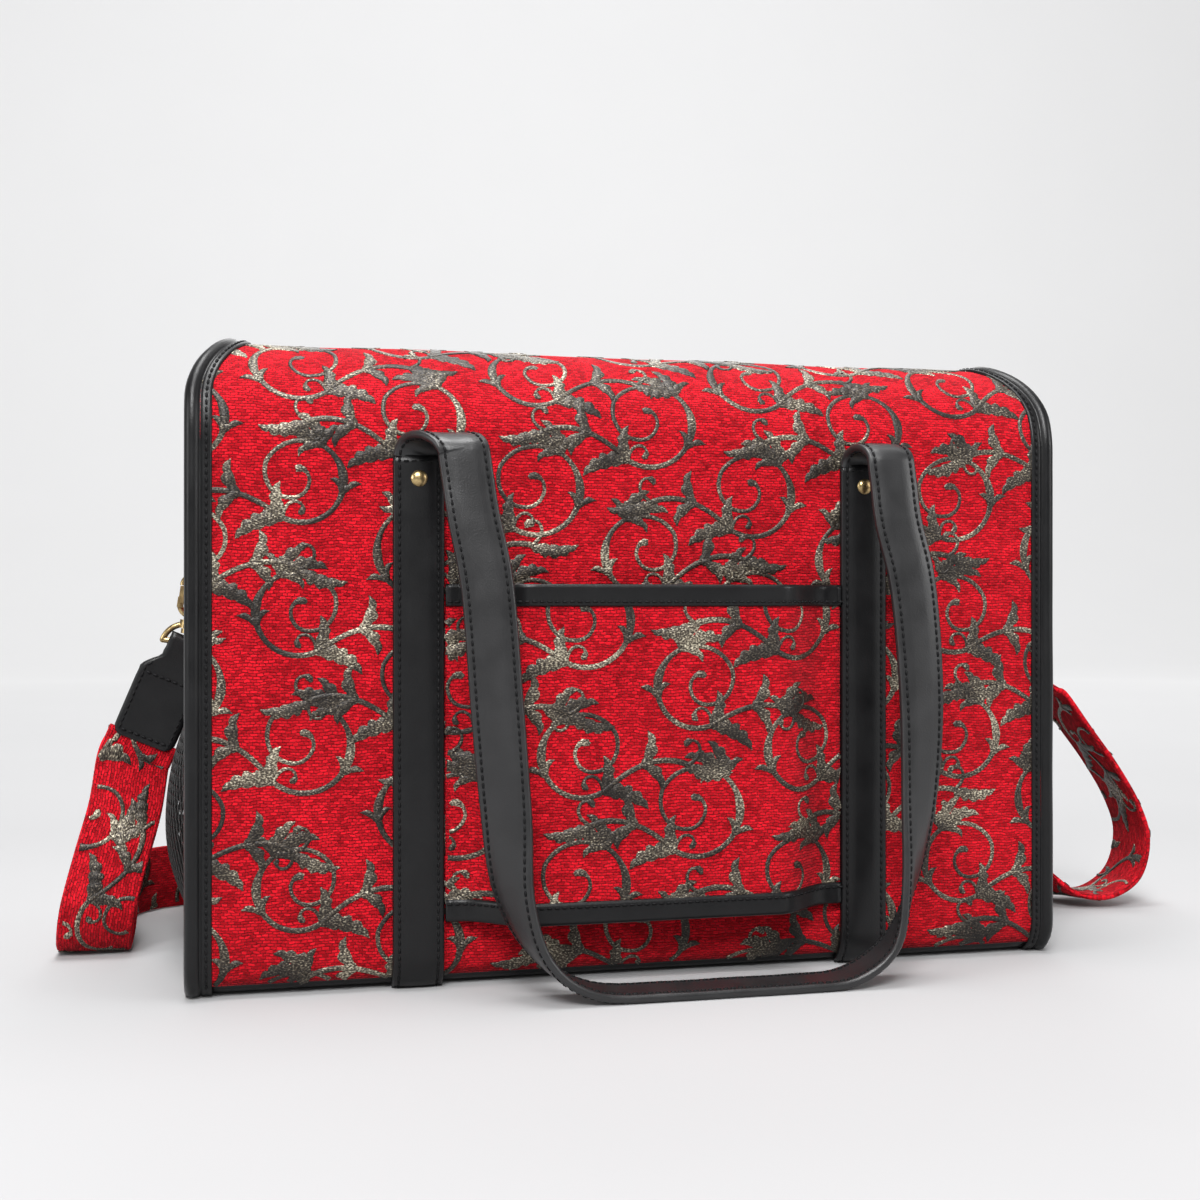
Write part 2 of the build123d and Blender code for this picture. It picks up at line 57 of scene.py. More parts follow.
camera_data = bpy.data.cameras.new("camera")
camera_data.lens = 44.9
camera_data.sensor_width = 36.0
camera = bpy.data.objects.new("camera", camera_data)
camera.location = (-0.192, -0.843, 0.188)
camera.rotation_euler = (math.radians(90.1), 0, math.radians(-12.96))
scene.collection.objects.link(camera)
scene.camera = camera

world = bpy.data.worlds.new("studio")
world.use_nodes = True
world.node_tree.nodes["Background"].inputs["Color"].default_value = (0.93, 0.93, 0.94, 1)
world.node_tree.nodes["Background"].inputs["Strength"].default_value = 0.20
scene.world = world


def soft_light(name, place, target, size, power):
    """Square area light that looks at a point."""
    data = bpy.data.lights.new(name, "AREA")
    data.shape = "SQUARE"
    data.size = size
    data.energy = power
    lamp = bpy.data.objects.new(name, data)
    lamp.location = place
    lamp.rotation_euler = (Vector(target) - Vector(place)).to_track_quat("-Z", "Y").to_euler()
    scene.collection.objects.link(lamp)


MIDDLE = (0, 0, 0.16)
soft_light("key_light", (-0.5, -1.7, 1.7), MIDDLE, 0.9, 60)
soft_light("side_light", (1.9, -1.2, 0.9), MIDDLE, 0.9, 16)
soft_light("left_light", (-1.9, -0.6, 0.7), MIDDLE, 0.7, 10)
soft_light("back_light", (0.4, 1.8, 1.6), MIDDLE, 1.4, 14)
soft_light("top_light", (-0.15, -0.25, 2.0), MIDDLE, 0.8, 34)
soft_light("backdrop_light", (0.9, 1.0, 3.4), (1.1, 4.5, 1.2), 3.5, 90)


class Shade:
    """A shader socket that works in sums, and adds any other node to its material."""

    def __init__(self, tree, socket=None):
        self.tree = tree
        self.socket = socket

    def make(self, kind, settings=None, inputs=None, output=0):
        """Any other node, with its settings, the values or links of its sockets, and an output."""
        node = self.tree.nodes.new(kind)
        for name, value in (settings or {}).items():
            if name == "stops":
                ramp = node.color_ramp.elements
                while len(ramp) < len(value):
                    ramp.new(0.5)
                for stop, (position, colour) in zip(ramp, value):
                    stop.position = position
                    stop.color = (*colour, 1)
            else:
                setattr(node, name, value)
        for name, value in (inputs or {}).items():
            if isinstance(value, Shade):
                self.tree.links.new(value.socket, node.inputs[name])
            else:
                node.inputs[name].default_value = value
        return Shade(self.tree, node.outputs[output])

    def sum_of(self, operation, first, second):
        """One step of arithmetic on two values."""
        return self.make("ShaderNodeMath", {"operation": operation}, {0: first, 1: second})

    def __add__(self, other):
        return self.sum_of("ADD", self, other)

    __radd__ = __add__

    def __sub__(self, other):
        return self.sum_of("SUBTRACT", self, other)

    def __rsub__(self, other):
        return self.sum_of("SUBTRACT", other, self)

    def __mul__(self, other):
        return self.sum_of("MULTIPLY", self, other)

    __rmul__ = __mul__

    def blended(self, first, second):
        """Colour between two colours, by this value."""
        settings = {"data_type": "RGBA"}
        return self.make("ShaderNodeMix", settings, {0: self, 6: first, 7: second}, 2)

    def clouds(self, place, size, detail=2.0):
        """Soft noise whose spots have about the given size in millimetres."""
        inputs = {"Vector": place, "Scale": 1 / size, "Detail": detail}
        return self.make("ShaderNodeTexNoise", None, inputs)

    def stretched(self, place, scale):
        """Coordinates multiplied on each axis."""
        return self.make("ShaderNodeVectorMath", {"operation": "MULTIPLY"}, {0: place, 1: scale})

    def raised(self, height, depth):
        """Normal from a height between 0 and 1 that stands depth millimetres proud."""
        inputs = {"Height": height, "Strength": 1.0, "Distance": depth / 1000}
        return self.make("ShaderNodeBump", None, inputs)


def start_material(name):
    """An empty material, its shade and its surface coordinates in millimetres."""
    material = bpy.data.materials.new(name)
    material.use_nodes = True
    shade = Shade(material.node_tree)
    place = shade.make("ShaderNodeTexCoord", None, None, 3)
    return material, shade, shade.stretched(place, (1000, 1000, 1000))


def end_material(material, linked, fixed):
    """Joins what varies over the surface and sets what is the same all over."""
    surface = material.node_tree.nodes["Principled BSDF"]
    for name, value in linked.items():
        material.node_tree.links.new(value.socket, surface.inputs[name])
    for name, value in fixed.items():
        surface.inputs[name].default_value = value
    return material


GLOW_REACH = 5000


def floor_material():
    """Plain pale floor that glows a little more the further it is from the bag."""
    material, shade, place = start_material("pale_floor")
    tone = shade.clouds(place, 300).blended((0.37, 0.37, 0.375, 1), (0.39, 0.39, 0.395, 1))
    distance = shade.make("ShaderNodeVectorMath", {"operation": "LENGTH"}, {0: place}, 1)
    stops = [(0.0, (0.0, 0.0, 0.0)), (0.12, (0.02, 0.02, 0.02)),
             (0.6, (0.47, 0.47, 0.47)), (1.0, (0.50, 0.50, 0.50))]
    glow = shade.make("ShaderNodeValToRGB", {"stops": stops}, {"Fac": distance * (1 / GLOW_REACH)})
    linked = {"Base Color": tone, "Emission Color": glow}
    return end_material(material, linked, {"Roughness": 0.9, "Emission Strength": 1.0})


def build(name, points, faces, material, smooth=True, cloth=None):
    """Mesh object from points and faces, with cloth coordinates where it has a weave."""
    mesh = bpy.data.meshes.new(name)
    mesh.from_pydata(points, [], faces)
    mesh.polygons.foreach_set("use_smooth", [smooth] * len(mesh.polygons))
    if cloth:
        woven = mesh.attributes.new("cloth", "FLOAT_VECTOR", "POINT")
        flat = [value for u, v in cloth for value in (u, v, 0.0)]
        woven.data.foreach_set("vector", flat)
    mesh.materials.append(material)
    mesh.validate()
    piece = bpy.data.objects.new(name, mesh)
    scene.collection.objects.link(piece)
    return piece


def backdrop():
    """Floor that turns up behind the bag in a wide curve."""
    half, front, back, radius = 6.0, -4.0, 3.0, 1.5
    line = [(front, 0.0)]
    for i in range(13):
        angle = math.radians(90 * i / 12)
        line.append((back + radius * math.sin(angle), radius - radius * math.cos(angle)))
    line.append((back + radius, 6.0))
    points = [(x, y, z) for y, z in line for x in (-half, half)]
    faces = [(2 * i, 2 * i + 1, 2 * i + 3, 2 * i + 2) for i in range(len(line) - 1)]
    build("floor", points, faces, floor_material())


backdrop()

# Body. The bag is a stiff chenille box with round shoulders. Each of its two long walls is one
# thick sheet that rises from the seam at the foot and bends over the shoulder to the zipper.
wall_low, wall_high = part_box("back_panel")
HALF_DEPTH = -wall_low.y
TOP = wall_high.z
HALF_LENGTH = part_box("right_binding")[1].x
HALF_PANEL = wall_high.x
BINDING_WIDTH = HALF_LENGTH - HALF_PANEL
SEAM_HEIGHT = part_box("bottom_panel")[1].z
FACING_EDGE = -wall_high.y
SHOULDER = 0.050
FOOT = 0.018
LEAN_START = 0.285
LEAN = 0.018
WALL_THICK = 0.0045
LEAN_RADIUS = ((TOP - LEAN_START) ** 2 + LEAN ** 2) / (2 * LEAN)

FLAT_BASE = HALF_DEPTH - FOOT
ARC_FOOT = FOOT * math.pi / 2
UPRIGHT = TOP - FOOT - SHOULDER
ARC_SHOULDER = SHOULDER * math.pi / 2
FLAT_TOP = HALF_DEPTH - SHOULDER
GIRTH = FLAT_BASE + ARC_FOOT + UPRIGHT + ARC_SHOULDER + FLAT_TOP
SEAM_RUN = FLAT_BASE + FOOT * math.acos(1 - SEAM_HEIGHT / FOOT)


def across_bag(run):
    """Half outline across the bag, by the run from the middle of the base: y, z and outward normal."""
    if run < FLAT_BASE:
        return run, 0.0, 0.0, -1.0
    run -= FLAT_BASE
    if run < ARC_FOOT:
        angle = run / FOOT
        y = FLAT_BASE + FOOT * math.sin(angle)
        return y, FOOT - FOOT * math.cos(angle), math.sin(angle), -math.cos(angle)
    run -= ARC_FOOT
    if run < UPRIGHT:
        return HALF_DEPTH, FOOT + run, 1.0, 0.0
    run -= UPRIGHT
    if run < ARC_SHOULDER:
        angle = run / SHOULDER
        y = FLAT_TOP + SHOULDER * math.cos(angle)
        return y, TOP - SHOULDER + SHOULDER * math.sin(angle), math.cos(angle), math.sin(angle)
    return FLAT_TOP - (run - ARC_SHOULDER), TOP, 0.0, 1.0


def end_reach(height):
    """Half length of the bag at a height: upright, then curving in towards the top."""
    rise = max(height - LEAN_START, 0)
    return HALF_LENGTH - LEAN_RADIUS + math.sqrt(LEAN_RADIUS ** 2 - rise ** 2)


def wall_point(side, x, run, out):
    """Point on a long wall, out metres off the cloth, with the cloth's soft unevenness."""
    y, z, normal_y, normal_z = across_bag(run)
    spot = Vector((x * 14, side * 3 + run * 14, 0))
    fade = min(1.0, (run - SEAM_RUN) * 30, (GIRTH - run) * 14)
    out += 0.0011 * noise.noise(spot) * max(fade, 0)
    return Vector((x, side * (y + normal_y * out), z + normal_z * out))


def start_cloth(name):
    """An empty material, its shade and coordinates in millimetres that follow the cloth."""
    material, shade, _ = start_material(name)
    cloth = shade.make("ShaderNodeAttribute", {"attribute_name": "cloth"}, None, 1)
    return material, shade, shade.stretched(cloth, (1000, 1000, 1000))


def chenille():
    """Red chenille: short plush weft ribs laid like bricks, each a little lighter or darker, with painted
    shade in the grooves between them.
    """
    material, shade, cloth = start_cloth("red_chenille")
    slow = shade.make("ShaderNodeTexNoise", None, {"Vector": cloth, "Scale": 0.10}, 1)
    quick = shade.make("ShaderNodeTexNoise", None, {"Vector": cloth, "Scale": 0.55}, 1)
    woven = cloth
    for waver, reach in ((slow, (4.0, 3.0, 0)), (quick, (1.6, 0.8, 0))):
        inputs = {0: waver, 1: reach, 2: woven}
        woven = shade.make("ShaderNodeVectorMath", {"operation": "MULTIPLY_ADD"}, inputs)
    sizes = {"Vector": woven, "Scale": 1.0, "Mortar Size": 0.24, "Mortar Smooth": 1.0,
             "Brick Width": 2.9, "Row Height": 1.45, "Color1": (0.0, 0.0, 0.0, 1), "Color2": (1, 1, 1, 1),
             "Mortar": (0.5, 0.5, 0.5, 1)}
    tuft = shade.make("ShaderNodeTexBrick", {"offset": 0.5}, sizes)
    gap = shade.make("ShaderNodeTexBrick", {"offset": 0.5}, sizes, 1)
    fibre = shade.clouds(shade.stretched(cloth, (0.30, 2.0, 1)), 0.75, 3)
    patch = shade.clouds(cloth, 26)
    tone = tuft * 0.45 + fibre * 1.0 + patch * 0.40 - 0.45
    red = tone.blended((0.09, 0.0, 0.001, 1), (0.90, 0.013, 0.028, 1))
    # Painted shade: the colour is darkened to a near-black red in the sunken grooves between the ribs.
    colour = (gap * 0.70).blended(red, (0.06, 0.0, 0.001, 1))
    height = (1 - gap) * 0.75 + fibre * 0.35
    linked = {"Base Color": colour, "Normal": shade.raised(height, 0.7)}
    fixed = {"Roughness": 0.85, "Sheen Weight": 0.12, "Sheen Roughness": 0.45,
             "Sheen Tint": (1.0, 0.35, 0.4, 1), "Specular IOR Level": 0.06}
    return end_material(material, linked, fixed)


def metal_thread():
    """Woven scrolls: dark brown, olive and pale gold threads twisted together."""
    material, shade, cloth = start_cloth("mottled_thread")
    fleck = shade.clouds(shade.stretched(cloth, (1.0, 1.5, 1)), 1.15, 2)
    drift = shade.clouds(cloth, 34)
    tone = fleck * 1.25 + drift * 0.9 - 0.62
    stops = [(0.26, (0.008, 0.006, 0.005)), (0.46, (0.036, 0.028, 0.021)),
             (0.60, (0.13, 0.108, 0.078)), (0.78, (0.52, 0.47, 0.35))]
    colour = shade.make("ShaderNodeValToRGB", {"stops": stops}, {"Fac": tone})
    linked = {"Base Color": colour, "Normal": shade.raised(fleck, 0.35)}
    return end_material(material, linked, {"Roughness": 0.42, "Metallic": 0.35})


def leather(name, dark, light, shine):
    """Smooth leather with a fine grain and a soft polish, between two tones."""
    material, shade, place = start_material(name)
    grain = shade.make("ShaderNodeTexVoronoi", None, {"Vector": place, "Scale": 1.3})
    wear = shade.clouds(place, 14, 3)
    fine = shade.clouds(place, 0.9, 2)
    linked = {"Base Color": wear.blended(dark, light), "Roughness": 0.26 + wear * 0.22,
              "Normal": shade.raised(grain * 0.5 + fine, 0.05)}
    return end_material(material, linked, {"Specular IOR Level": shine})


def brass():
    """Aged brass: warm metal, browner where it is not rubbed."""
    material, shade, place = start_material("rubbed_brass")
    rub = shade.clouds(place, 3.5, 4)
    stops = [(0.30, (0.13, 0.085, 0.04)), (0.62, (0.62, 0.46, 0.22))]
    colour = shade.make("ShaderNodeValToRGB", {"stops": stops}, {"Fac": rub})
    linked = {"Base Color": colour, "Roughness": 0.42 - rub * 0.2, "Normal": shade.raised(rub, 0.04)}
    return end_material(material, linked, {"Metallic": 1.0})


CHENILLE = chenille()
THREAD = metal_thread()
LEATHER = leather("smooth_black_leather", (0.0022, 0.0022, 0.0026, 1), (0.006, 0.006, 0.0066, 1), 0.32)
# The handles use a lighter copy of the black leather. Its lighter base colour is painted sheen that stands in
# for broad highlights.
HANDLE_LEATHER_PAINTED_SHEEN = leather("handle_leather_painted_sheen", (0.010, 0.010, 0.0105, 1), (0.020, 0.020, 0.021, 1), 0.5)
BRASS = brass()
LONG_COLUMNS = 91
PANEL_TUCK = 0.006


def shell(outer, inner, columns):
    """Faces of a thick sheet: two grids whose rows hold columns points, joined at their edges."""
    rows = len(outer) // columns
    count = len(outer)
    faces = []
    for row in range(rows - 1):
        for column in range(columns - 1):
            a = row * columns + column
            quad = (a, a + 1, a + columns + 1, a + columns)
            faces.append(quad)
            faces.append(tuple(count + i for i in reversed(quad)))
    border = list(range(columns))
    border += [row * columns + columns - 1 for row in range(1, rows)]
    border += [(rows - 1) * columns + i for i in range(columns - 2, -1, -1)]
    border += [row * columns for row in range(rows - 2, 0, -1)]
    for i, a in enumerate(border):
        b = border[(i + 1) % len(border)]
        faces.append((b, a, count + a, count + b))
    return outer + inner, faces


def long_panel(name, side, runs, material, thick, node, proud=0.0):
    """Panel along the bag between two runs, tucked a little under the end bindings."""
    run_from, run_to = runs
    rows = max(3, round((run_to - run_from) / 0.005) + 1)
    columns = LONG_COLUMNS
    outer, inner, cloth = [], [], []
    for i in range(rows):
        run = run_from + (run_to - run_from) * i / (rows - 1)
        height = across_bag(run)[1]
        half = end_reach(height) - BINDING_WIDTH + PANEL_TUCK
        for j in range(columns):
            x = half * (2 * j / (columns - 1) - 1)
            outer.append(wall_point(side, x, run, proud))
            inner.append(wall_point(side, x, run, proud - thick))
            cloth.append((x, run))
    points, faces = shell(outer, inner, columns)
    if side > 0:
        faces = [tuple(reversed(face)) for face in faces]
    piece = build(name, points, faces, material, cloth=cloth + cloth)
    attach(piece, "bag")
    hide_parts(node)
    return piece


for side, wall in ((-1, "back"), (1, "front")):
    long_panel(f"{wall}_wall", side, (SEAM_RUN, GIRTH - FACING_EDGE), CHENILLE, WALL_THICK, f"{wall}_panel")

# Woven scrolls. The carpet pattern is an acanthus scroll: round volutes in a half-drop repeat,
# with leaf sprays where stems part. It is woven in, so it lies on the cloth and follows its curves.
REPEAT_U = 0.0565
REPEAT_V = 0.0640
THINNEST = 0.0002


def band(points, widths):
    """Woven band along points in the cloth, with a half width on its left and right at each."""
    rows = []
    for i, point in enumerate(points):
        ahead = points[min(i + 1, len(points) - 1)]
        behind = points[max(i - 1, 0)]
        du, dv = ahead[0] - behind[0], ahead[1] - behind[1]
        size = math.hypot(du, dv) or 1.0
        left, right = widths[i]
        rows.append((point[0], point[1], -dv / size, du / size, left, right))
    return rows


def curl(u, v, heading, length, bend, start_width, end_width, ball=0.0):
    """Tapered stem that turns faster towards its end, where it may have a round ball."""
    steps = max(6, round(length / 0.0017))
    points, widths = [], []
    for i in range(steps + 1):
        share = i / steps
        width = start_width + (end_width - start_width) * share
        if ball and share > 0.80:
            width = max(width, ball * math.sin(math.pi * min((share - 0.76) / 0.26, 1)) ** 0.6)
        points.append((u, v))
        widths.append((max(width, THINNEST), max(width, THINNEST)))
        turned = heading + bend * share ** 1.7
        u += length / steps * math.cos(turned)
        v += length / steps * math.sin(turned)
    return band(points, widths)


def leaf(u, v, heading, length, bend, width, lobes=4):
    """Acanthus leaf: a bent spine, pointed lobes along its outer side and a plainer inner side."""
    steps = max(14, round(length / 0.0011))
    points, widths = [], []
    for i in range(steps + 1):
        share = i / steps
        swell = math.sin(math.pi * min(share * 0.92 + 0.08, 1) ** 0.85) ** 0.7
        tooth = (share * lobes + 0.15) % 1.0
        outer = width * 1.30 * swell * (0.40 + 0.60 * tooth ** 0.6 * (1 - tooth ** 5))
        tooth = (share * (lobes - 1) + 0.6) % 1.0
        inner = width * 0.75 * swell * (0.55 + 0.45 * tooth ** 0.6 * (1 - tooth ** 5))
        pair = (inner, outer) if bend > 0 else (outer, inner)
        points.append((u, v))
        widths.append(tuple(max(value, THINNEST) for value in pair))
        turned = heading + bend * share ** 1.5
        u += length / steps * math.cos(turned)
        v += length / steps * math.sin(turned)
    return band(points, widths)


RING_SHRINK = ((0.0, 1.0), (0.5, 1.0), (0.75, 0.90), (1.0, 0.54), (1.2, 0.36), (1.4, 0.26), (1.62, 0.10))


def volute(u, v, radius, start, hand, width):
    """Open round scroll that winds in to a small curl with a ball at its end."""
    turns = RING_SHRINK[-1][0]
    points, widths = [], []
    walked = 0.0
    while walked <= turns:
        for (t0, r0), (t1, r1) in zip(RING_SHRINK, RING_SHRINK[1:]):
            if t0 <= walked <= t1:
                shrink = r0 + (r1 - r0) * (walked - t0) / (t1 - t0)
                break
        angle = start + hand * math.tau * walked
        drift = radius * 0.22 * max(walked - 0.55, 0) ** 0.8
        aim = start + hand * 4.4
        points.append((u + drift * math.cos(aim) + radius * shrink * math.cos(angle),
                       v + drift * math.sin(aim) + radius * shrink * math.sin(angle)))
        thick = width * (1.0 + 0.75 * math.exp(-((walked - 0.34) / 0.06) ** 2) - 0.25 * walked)
        if walked > turns - 0.24:
            thick = max(thick, 0.0021 * math.sin(math.pi * (walked - turns + 0.27) / 0.30))
        widths.append((max(thick, 0.0004), max(thick, 0.0004)))
        walked += 0.0019 / (math.tau * radius * max(shrink, 0.22))
    return band(points, widths), points


def along_path(path, share):
    """Point and heading at a share of a path."""
    i = min(round(len(path) * share), len(path) - 2)
    (u0, v0), (u1, v1) = path[i], path[i + 1]
    return u0, v0, math.atan2(v1 - v0, u1 - u0)


def repeat(column, row):
    """One repeat of the pattern: a volute with its leaves, and the stem that leads to the next."""
    chance = random.Random(column * 97 + row * 31 + 5)
    hand = 1 if (column + row) % 2 else -1
    u = (column + chance.uniform(-0.05, 0.05)) * REPEAT_U
    v = (row + 0.5 * (column % 2) + chance.uniform(-0.04, 0.04)) * REPEAT_V
    radius = chance.uniform(0.0195, 0.0225)
    start = -math.pi / 2 + hand * chance.uniform(0.35, 0.75)
    spiral, path = volute(u, v, radius, start, -hand, 0.00150)
    bands = [spiral]
    # Flower: three leaves fanned outwards where the scroll turns in.
    a, b, heading = along_path(path, chance.uniform(0.42, 0.46))
    bands.append(leaf(a, b, heading + hand * 0.20, 0.024, -hand * 1.1, 0.0052, 5))
    bands.append(leaf(a, b, heading + hand * 0.80, 0.020, -hand * 0.9, 0.0046, 4))
    bands.append(leaf(a, b, heading - hand * 0.35, 0.014, -hand * 1.5, 0.0032, 3))
    bands.append(leaf(a, b, heading + hand * 1.45, 0.013, hand * 0.9, 0.0034, 3))
    # Sheath leaves on the outside and inside of the scroll.
    a, b, heading = along_path(path, chance.uniform(0.20, 0.25))
    bands.append(leaf(a, b, heading + hand * 0.5, 0.011, hand * 0.9, 0.0026, 2))
    bands.append(leaf(a, b, heading - hand * 0.4, 0.010, -hand * 1.4, 0.0024, 2))
    # Junction: two big leaves and a tendril where the stem leaves the scroll.
    a, b, heading = along_path(path, 0.0)
    back = heading + math.pi
    bands.append(leaf(a, b, back - hand * 0.55, 0.025, -hand * 0.8, 0.0056, 5))
    bands.append(leaf(a, b, back + hand * 0.75, 0.018, hand * 0.9, 0.0044, 4))
    bands.append(curl(a, b, back + hand * 1.3, 0.020, hand * 4.6, 0.0010, 0.0007, 0.0018))
    # Stem to the next scroll, with a leaf on each side and a long pod along it.
    stem = curl(a, b, back + hand * 0.2, 0.047, -hand * 1.15, 0.0013, 0.0016)
    bands.append(stem)
    middle = stem[round(len(stem) * 0.5)]
    course = back + hand * 0.2 - hand * 0.4
    bands.append(leaf(middle[0], middle[1], course + hand * 0.7, 0.018, hand * 1.2, 0.0042, 3))
    bands.append(leaf(middle[0], middle[1], course - hand * 0.7, 0.016, -hand * 1.3, 0.0040, 3))
    last = stem[-1]
    course = back - hand * 0.95
    bands.append(leaf(last[0], last[1], course, 0.024, hand * 0.8, 0.0048, 5))
    bands.append(curl(last[0], last[1], course + hand * 1.0, 0.022, hand * 4.4, 0.0011, 0.0007, 0.0019))
    if chance.random() < 0.6:
        bands.append(curl(last[0], last[1], course - hand * 1.0, 0.017, -hand * 4.2, 0.0010, 0.0007, 0.0017))
    return bands


SCROLL_PROUD = 0.00035
SCROLL_ROOT = -0.0002
STRAND_STEP = 0.000015
REPEAT_STEP = 0.000003


def repeats(low, high, shift, pitch):
    """Numbers of the repeats that cover a stretch of cloth, with some to spare on each side."""
    return range(math.floor((low - shift) / pitch) - 1, math.ceil((high - shift) / pitch) + 2)


def weave(name, surface, inside, u_range, v_range, shift=(0.0, 0.0)):
    """Scrolls over a surface: surface(u, v, out) gives points, inside(u, v) says where cloth is.

    No two bands that cross lie at the same height, so neither shades the other.
    """
    points, faces, cloth = [], [], []
    for column in repeats(*u_range, shift[0], REPEAT_U):
        for row in repeats(*v_range, shift[1], REPEAT_V):
            for order, strand in enumerate(repeat(column, row)):
                previous = None
                lift = SCROLL_PROUD + STRAND_STEP * order + REPEAT_STEP * ((column + 2 * row) % 5)
                for u, v, across_u, across_v, left, right in strand:
                    u += shift[0]
                    v += shift[1]
                    if not inside(u, v):
                        previous = None
                        continue
                    start = len(points)
                    for offset, out in ((-right, SCROLL_ROOT), (-0.75 * right, lift),
                                        (0.75 * left, lift), (left, SCROLL_ROOT)):
                        at = (u + across_u * offset, v + across_v * offset)
                        points.append(surface(*at, out))
                        cloth.append(at)
                    if previous is not None:
                        for k in range(3):
                            faces.append((previous + k, previous + k + 1, start + k + 1, start + k))
                    previous = start
    piece = build(name, points, faces, THREAD, cloth=cloth)
    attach(piece, "bag")
    return piece


def wall_inside(u, v):
    """Where a long wall's cloth shows, with a little under the bindings."""
    if not SEAM_RUN < v < GIRTH - FACING_EDGE:
        return False
    return abs(u) < end_reach(across_bag(v)[1]) - BINDING_WIDTH + 0.004


for side, wall in ((-1, "back"), (1, "front")):
    weave(f"{wall}_wall_scrolls", lambda u, v, out, side=side: wall_point(side, u, v, out), wall_inside,
          (-HALF_LENGTH, HALF_LENGTH), (SEAM_RUN, GIRTH - FACING_EDGE))

# Thread and rows of stitches. Every leather edge is sewn with thick black thread, a stitch of
# 2.8 mm every 3.7 mm, made as small rounded bars half sunk in the leather.
STITCH_PITCH = 0.0037
STITCH_LENGTH = 0.0028
STITCH_RADIUS = 0.00068


def plain(name, spot, dark, light, fixed, detail=2.0):
    """Material that varies a little between two colours, in spots of a size in millimetres."""
    material, shade, place = start_material(name)
    tone = shade.clouds(place, spot, detail).blended((*dark, 1), (*light, 1))
    return end_material(material, {"Base Color": tone}, fixed)


SEWING = plain("black_sewing_thread", 1.0, (0.002, 0.002, 0.002), (0.010, 0.010, 0.011),
               {"Roughness": 0.6, "Specular IOR Level": 0.15})


def carried(piece, body="bag", node=None):
    """Moves a piece with the bag, or else bakes its placement into its mesh, and hides the imported node it
    stands in for.
    """
    if body == "bag":
        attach(piece, body)
    else:
        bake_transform(piece)
    if node:
        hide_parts(node)
    return piece


def sew(name, lines, body="bag"):
    """Stitches along lines of points."""
    points, faces = [], []
    for line in lines:
        walked = STITCH_PITCH / 2
        for start, end in zip(line, line[1:]):
            leg = (end - start).length
            if leg < 1e-9:
                continue
            along = (end - start) / leg
            first = along.orthogonal().normalized()
            second = along.cross(first)
            while walked < leg:
                middle = start + along * walked
                base = len(points)
                for offset, radius in ((-0.5, 0.3), (-0.32, 1.0), (0.32, 1.0), (0.5, 0.3)):
                    for k in range(5):
                        turn = math.tau * k / 5
                        ring = first * math.cos(turn) + second * math.sin(turn)
                        points.append(middle + along * offset * STITCH_LENGTH + ring * radius * STITCH_RADIUS)
                for ring in range(3):
                    for k in range(5):
                        a = base + ring * 5
                        faces.append((a + k, a + (k + 1) % 5, a + 5 + (k + 1) % 5, a + 5 + k))
                faces.append(tuple(base + k for k in reversed(range(5))))
                faces.append(tuple(base + 15 + k for k in range(5)))
                walked += STITCH_PITCH
            walked -= leg
    return carried(build(name, points, faces, SEWING), body)


def sweep(name, rows, material, looped=False, cloth=None):
    """Skin over rows of points, each row one closed outline of the section."""
    count = len(rows[0])
    points = [point for row in rows for point in row]
    faces = []
    last = len(rows) if looped else len(rows) - 1
    for i in range(last):
        a, b = i * count, (i + 1) % len(rows) * count
        for k in range(count):
            faces.append((a + k, a + (k + 1) % count, b + (k + 1) % count, b + k))
    if not looped:
        faces.append(tuple(reversed(range(count))))
        faces.append(tuple(range(len(points) - count, len(points))))
    return build(name, points, faces, material, cloth=cloth)


# End bindings. Black leather wraps both end edges of the bag: a soft roll on the very edge, a
# groove, and a flat flange with one stitch row beside the cloth.
FLOOR_GAP = 0.0002
BINDING_PROFILE = (
    (0.0130, -0.0044), (0.0130, 0.0005), (0.0127, 0.0012), (0.0118, 0.0015), (0.0104, 0.0012),
    (0.0092, 0.0015), (0.0082, 0.0012), (0.0076, 0.0004), (0.0070, 0.0012), (0.0058, 0.0024),
    (0.0040, 0.0029), (0.0022, 0.0024), (0.0008, 0.0010), (0.0001, -0.0010), (0.0006, -0.0030),
    (0.0022, -0.0046), (0.0050, -0.0049),
)
BINDING_DEPTH = -0.0045
BINDING_STEP = 0.004


def end_frame(end, run, side, inset, out):
    """Point beside the end edge: inset metres in from the end and out metres off the cloth."""
    y, z, normal_y, normal_z = across_bag(run)
    x = end * (end_reach(z) - inset)
    soft = 0.0006 * noise.noise(Vector((run * 22, side * 5 + end * 9, 0))) if inset < 0.008 else 0
    return Vector((x, side * (y + normal_y * (out + soft)), z + normal_z * out))


def loop_stations():
    """Stations once round the bag: side and run."""
    count = round(GIRTH / BINDING_STEP)
    ring = [(-1, GIRTH * i / count) for i in range(count)]
    return ring + [(1, GIRTH * (count - i) / count) for i in range(count)]


for end, name in ((-1, "left"), (1, "right")):
    rows = [[end_frame(end, run, side, inset, max(out, BINDING_DEPTH) if run > 0 else out)
             for inset, out in BINDING_PROFILE] for side, run in loop_stations()]
    rows = [[Vector((p.x, p.y, max(p.z, FLOOR_GAP))) for p in row] for row in rows]
    if end > 0:
        rows = [row[::-1] for row in rows]
    carried(sweep(f"{name}_edge_binding", rows, LEATHER, looped=True), node=f"{name}_binding")
    line = [end_frame(end, run, side, 0.0104, 0.0014) for side, run in loop_stations()]
    sew(f"{name}_binding_stitches", [[p for p in line if p.z > 0.002]])

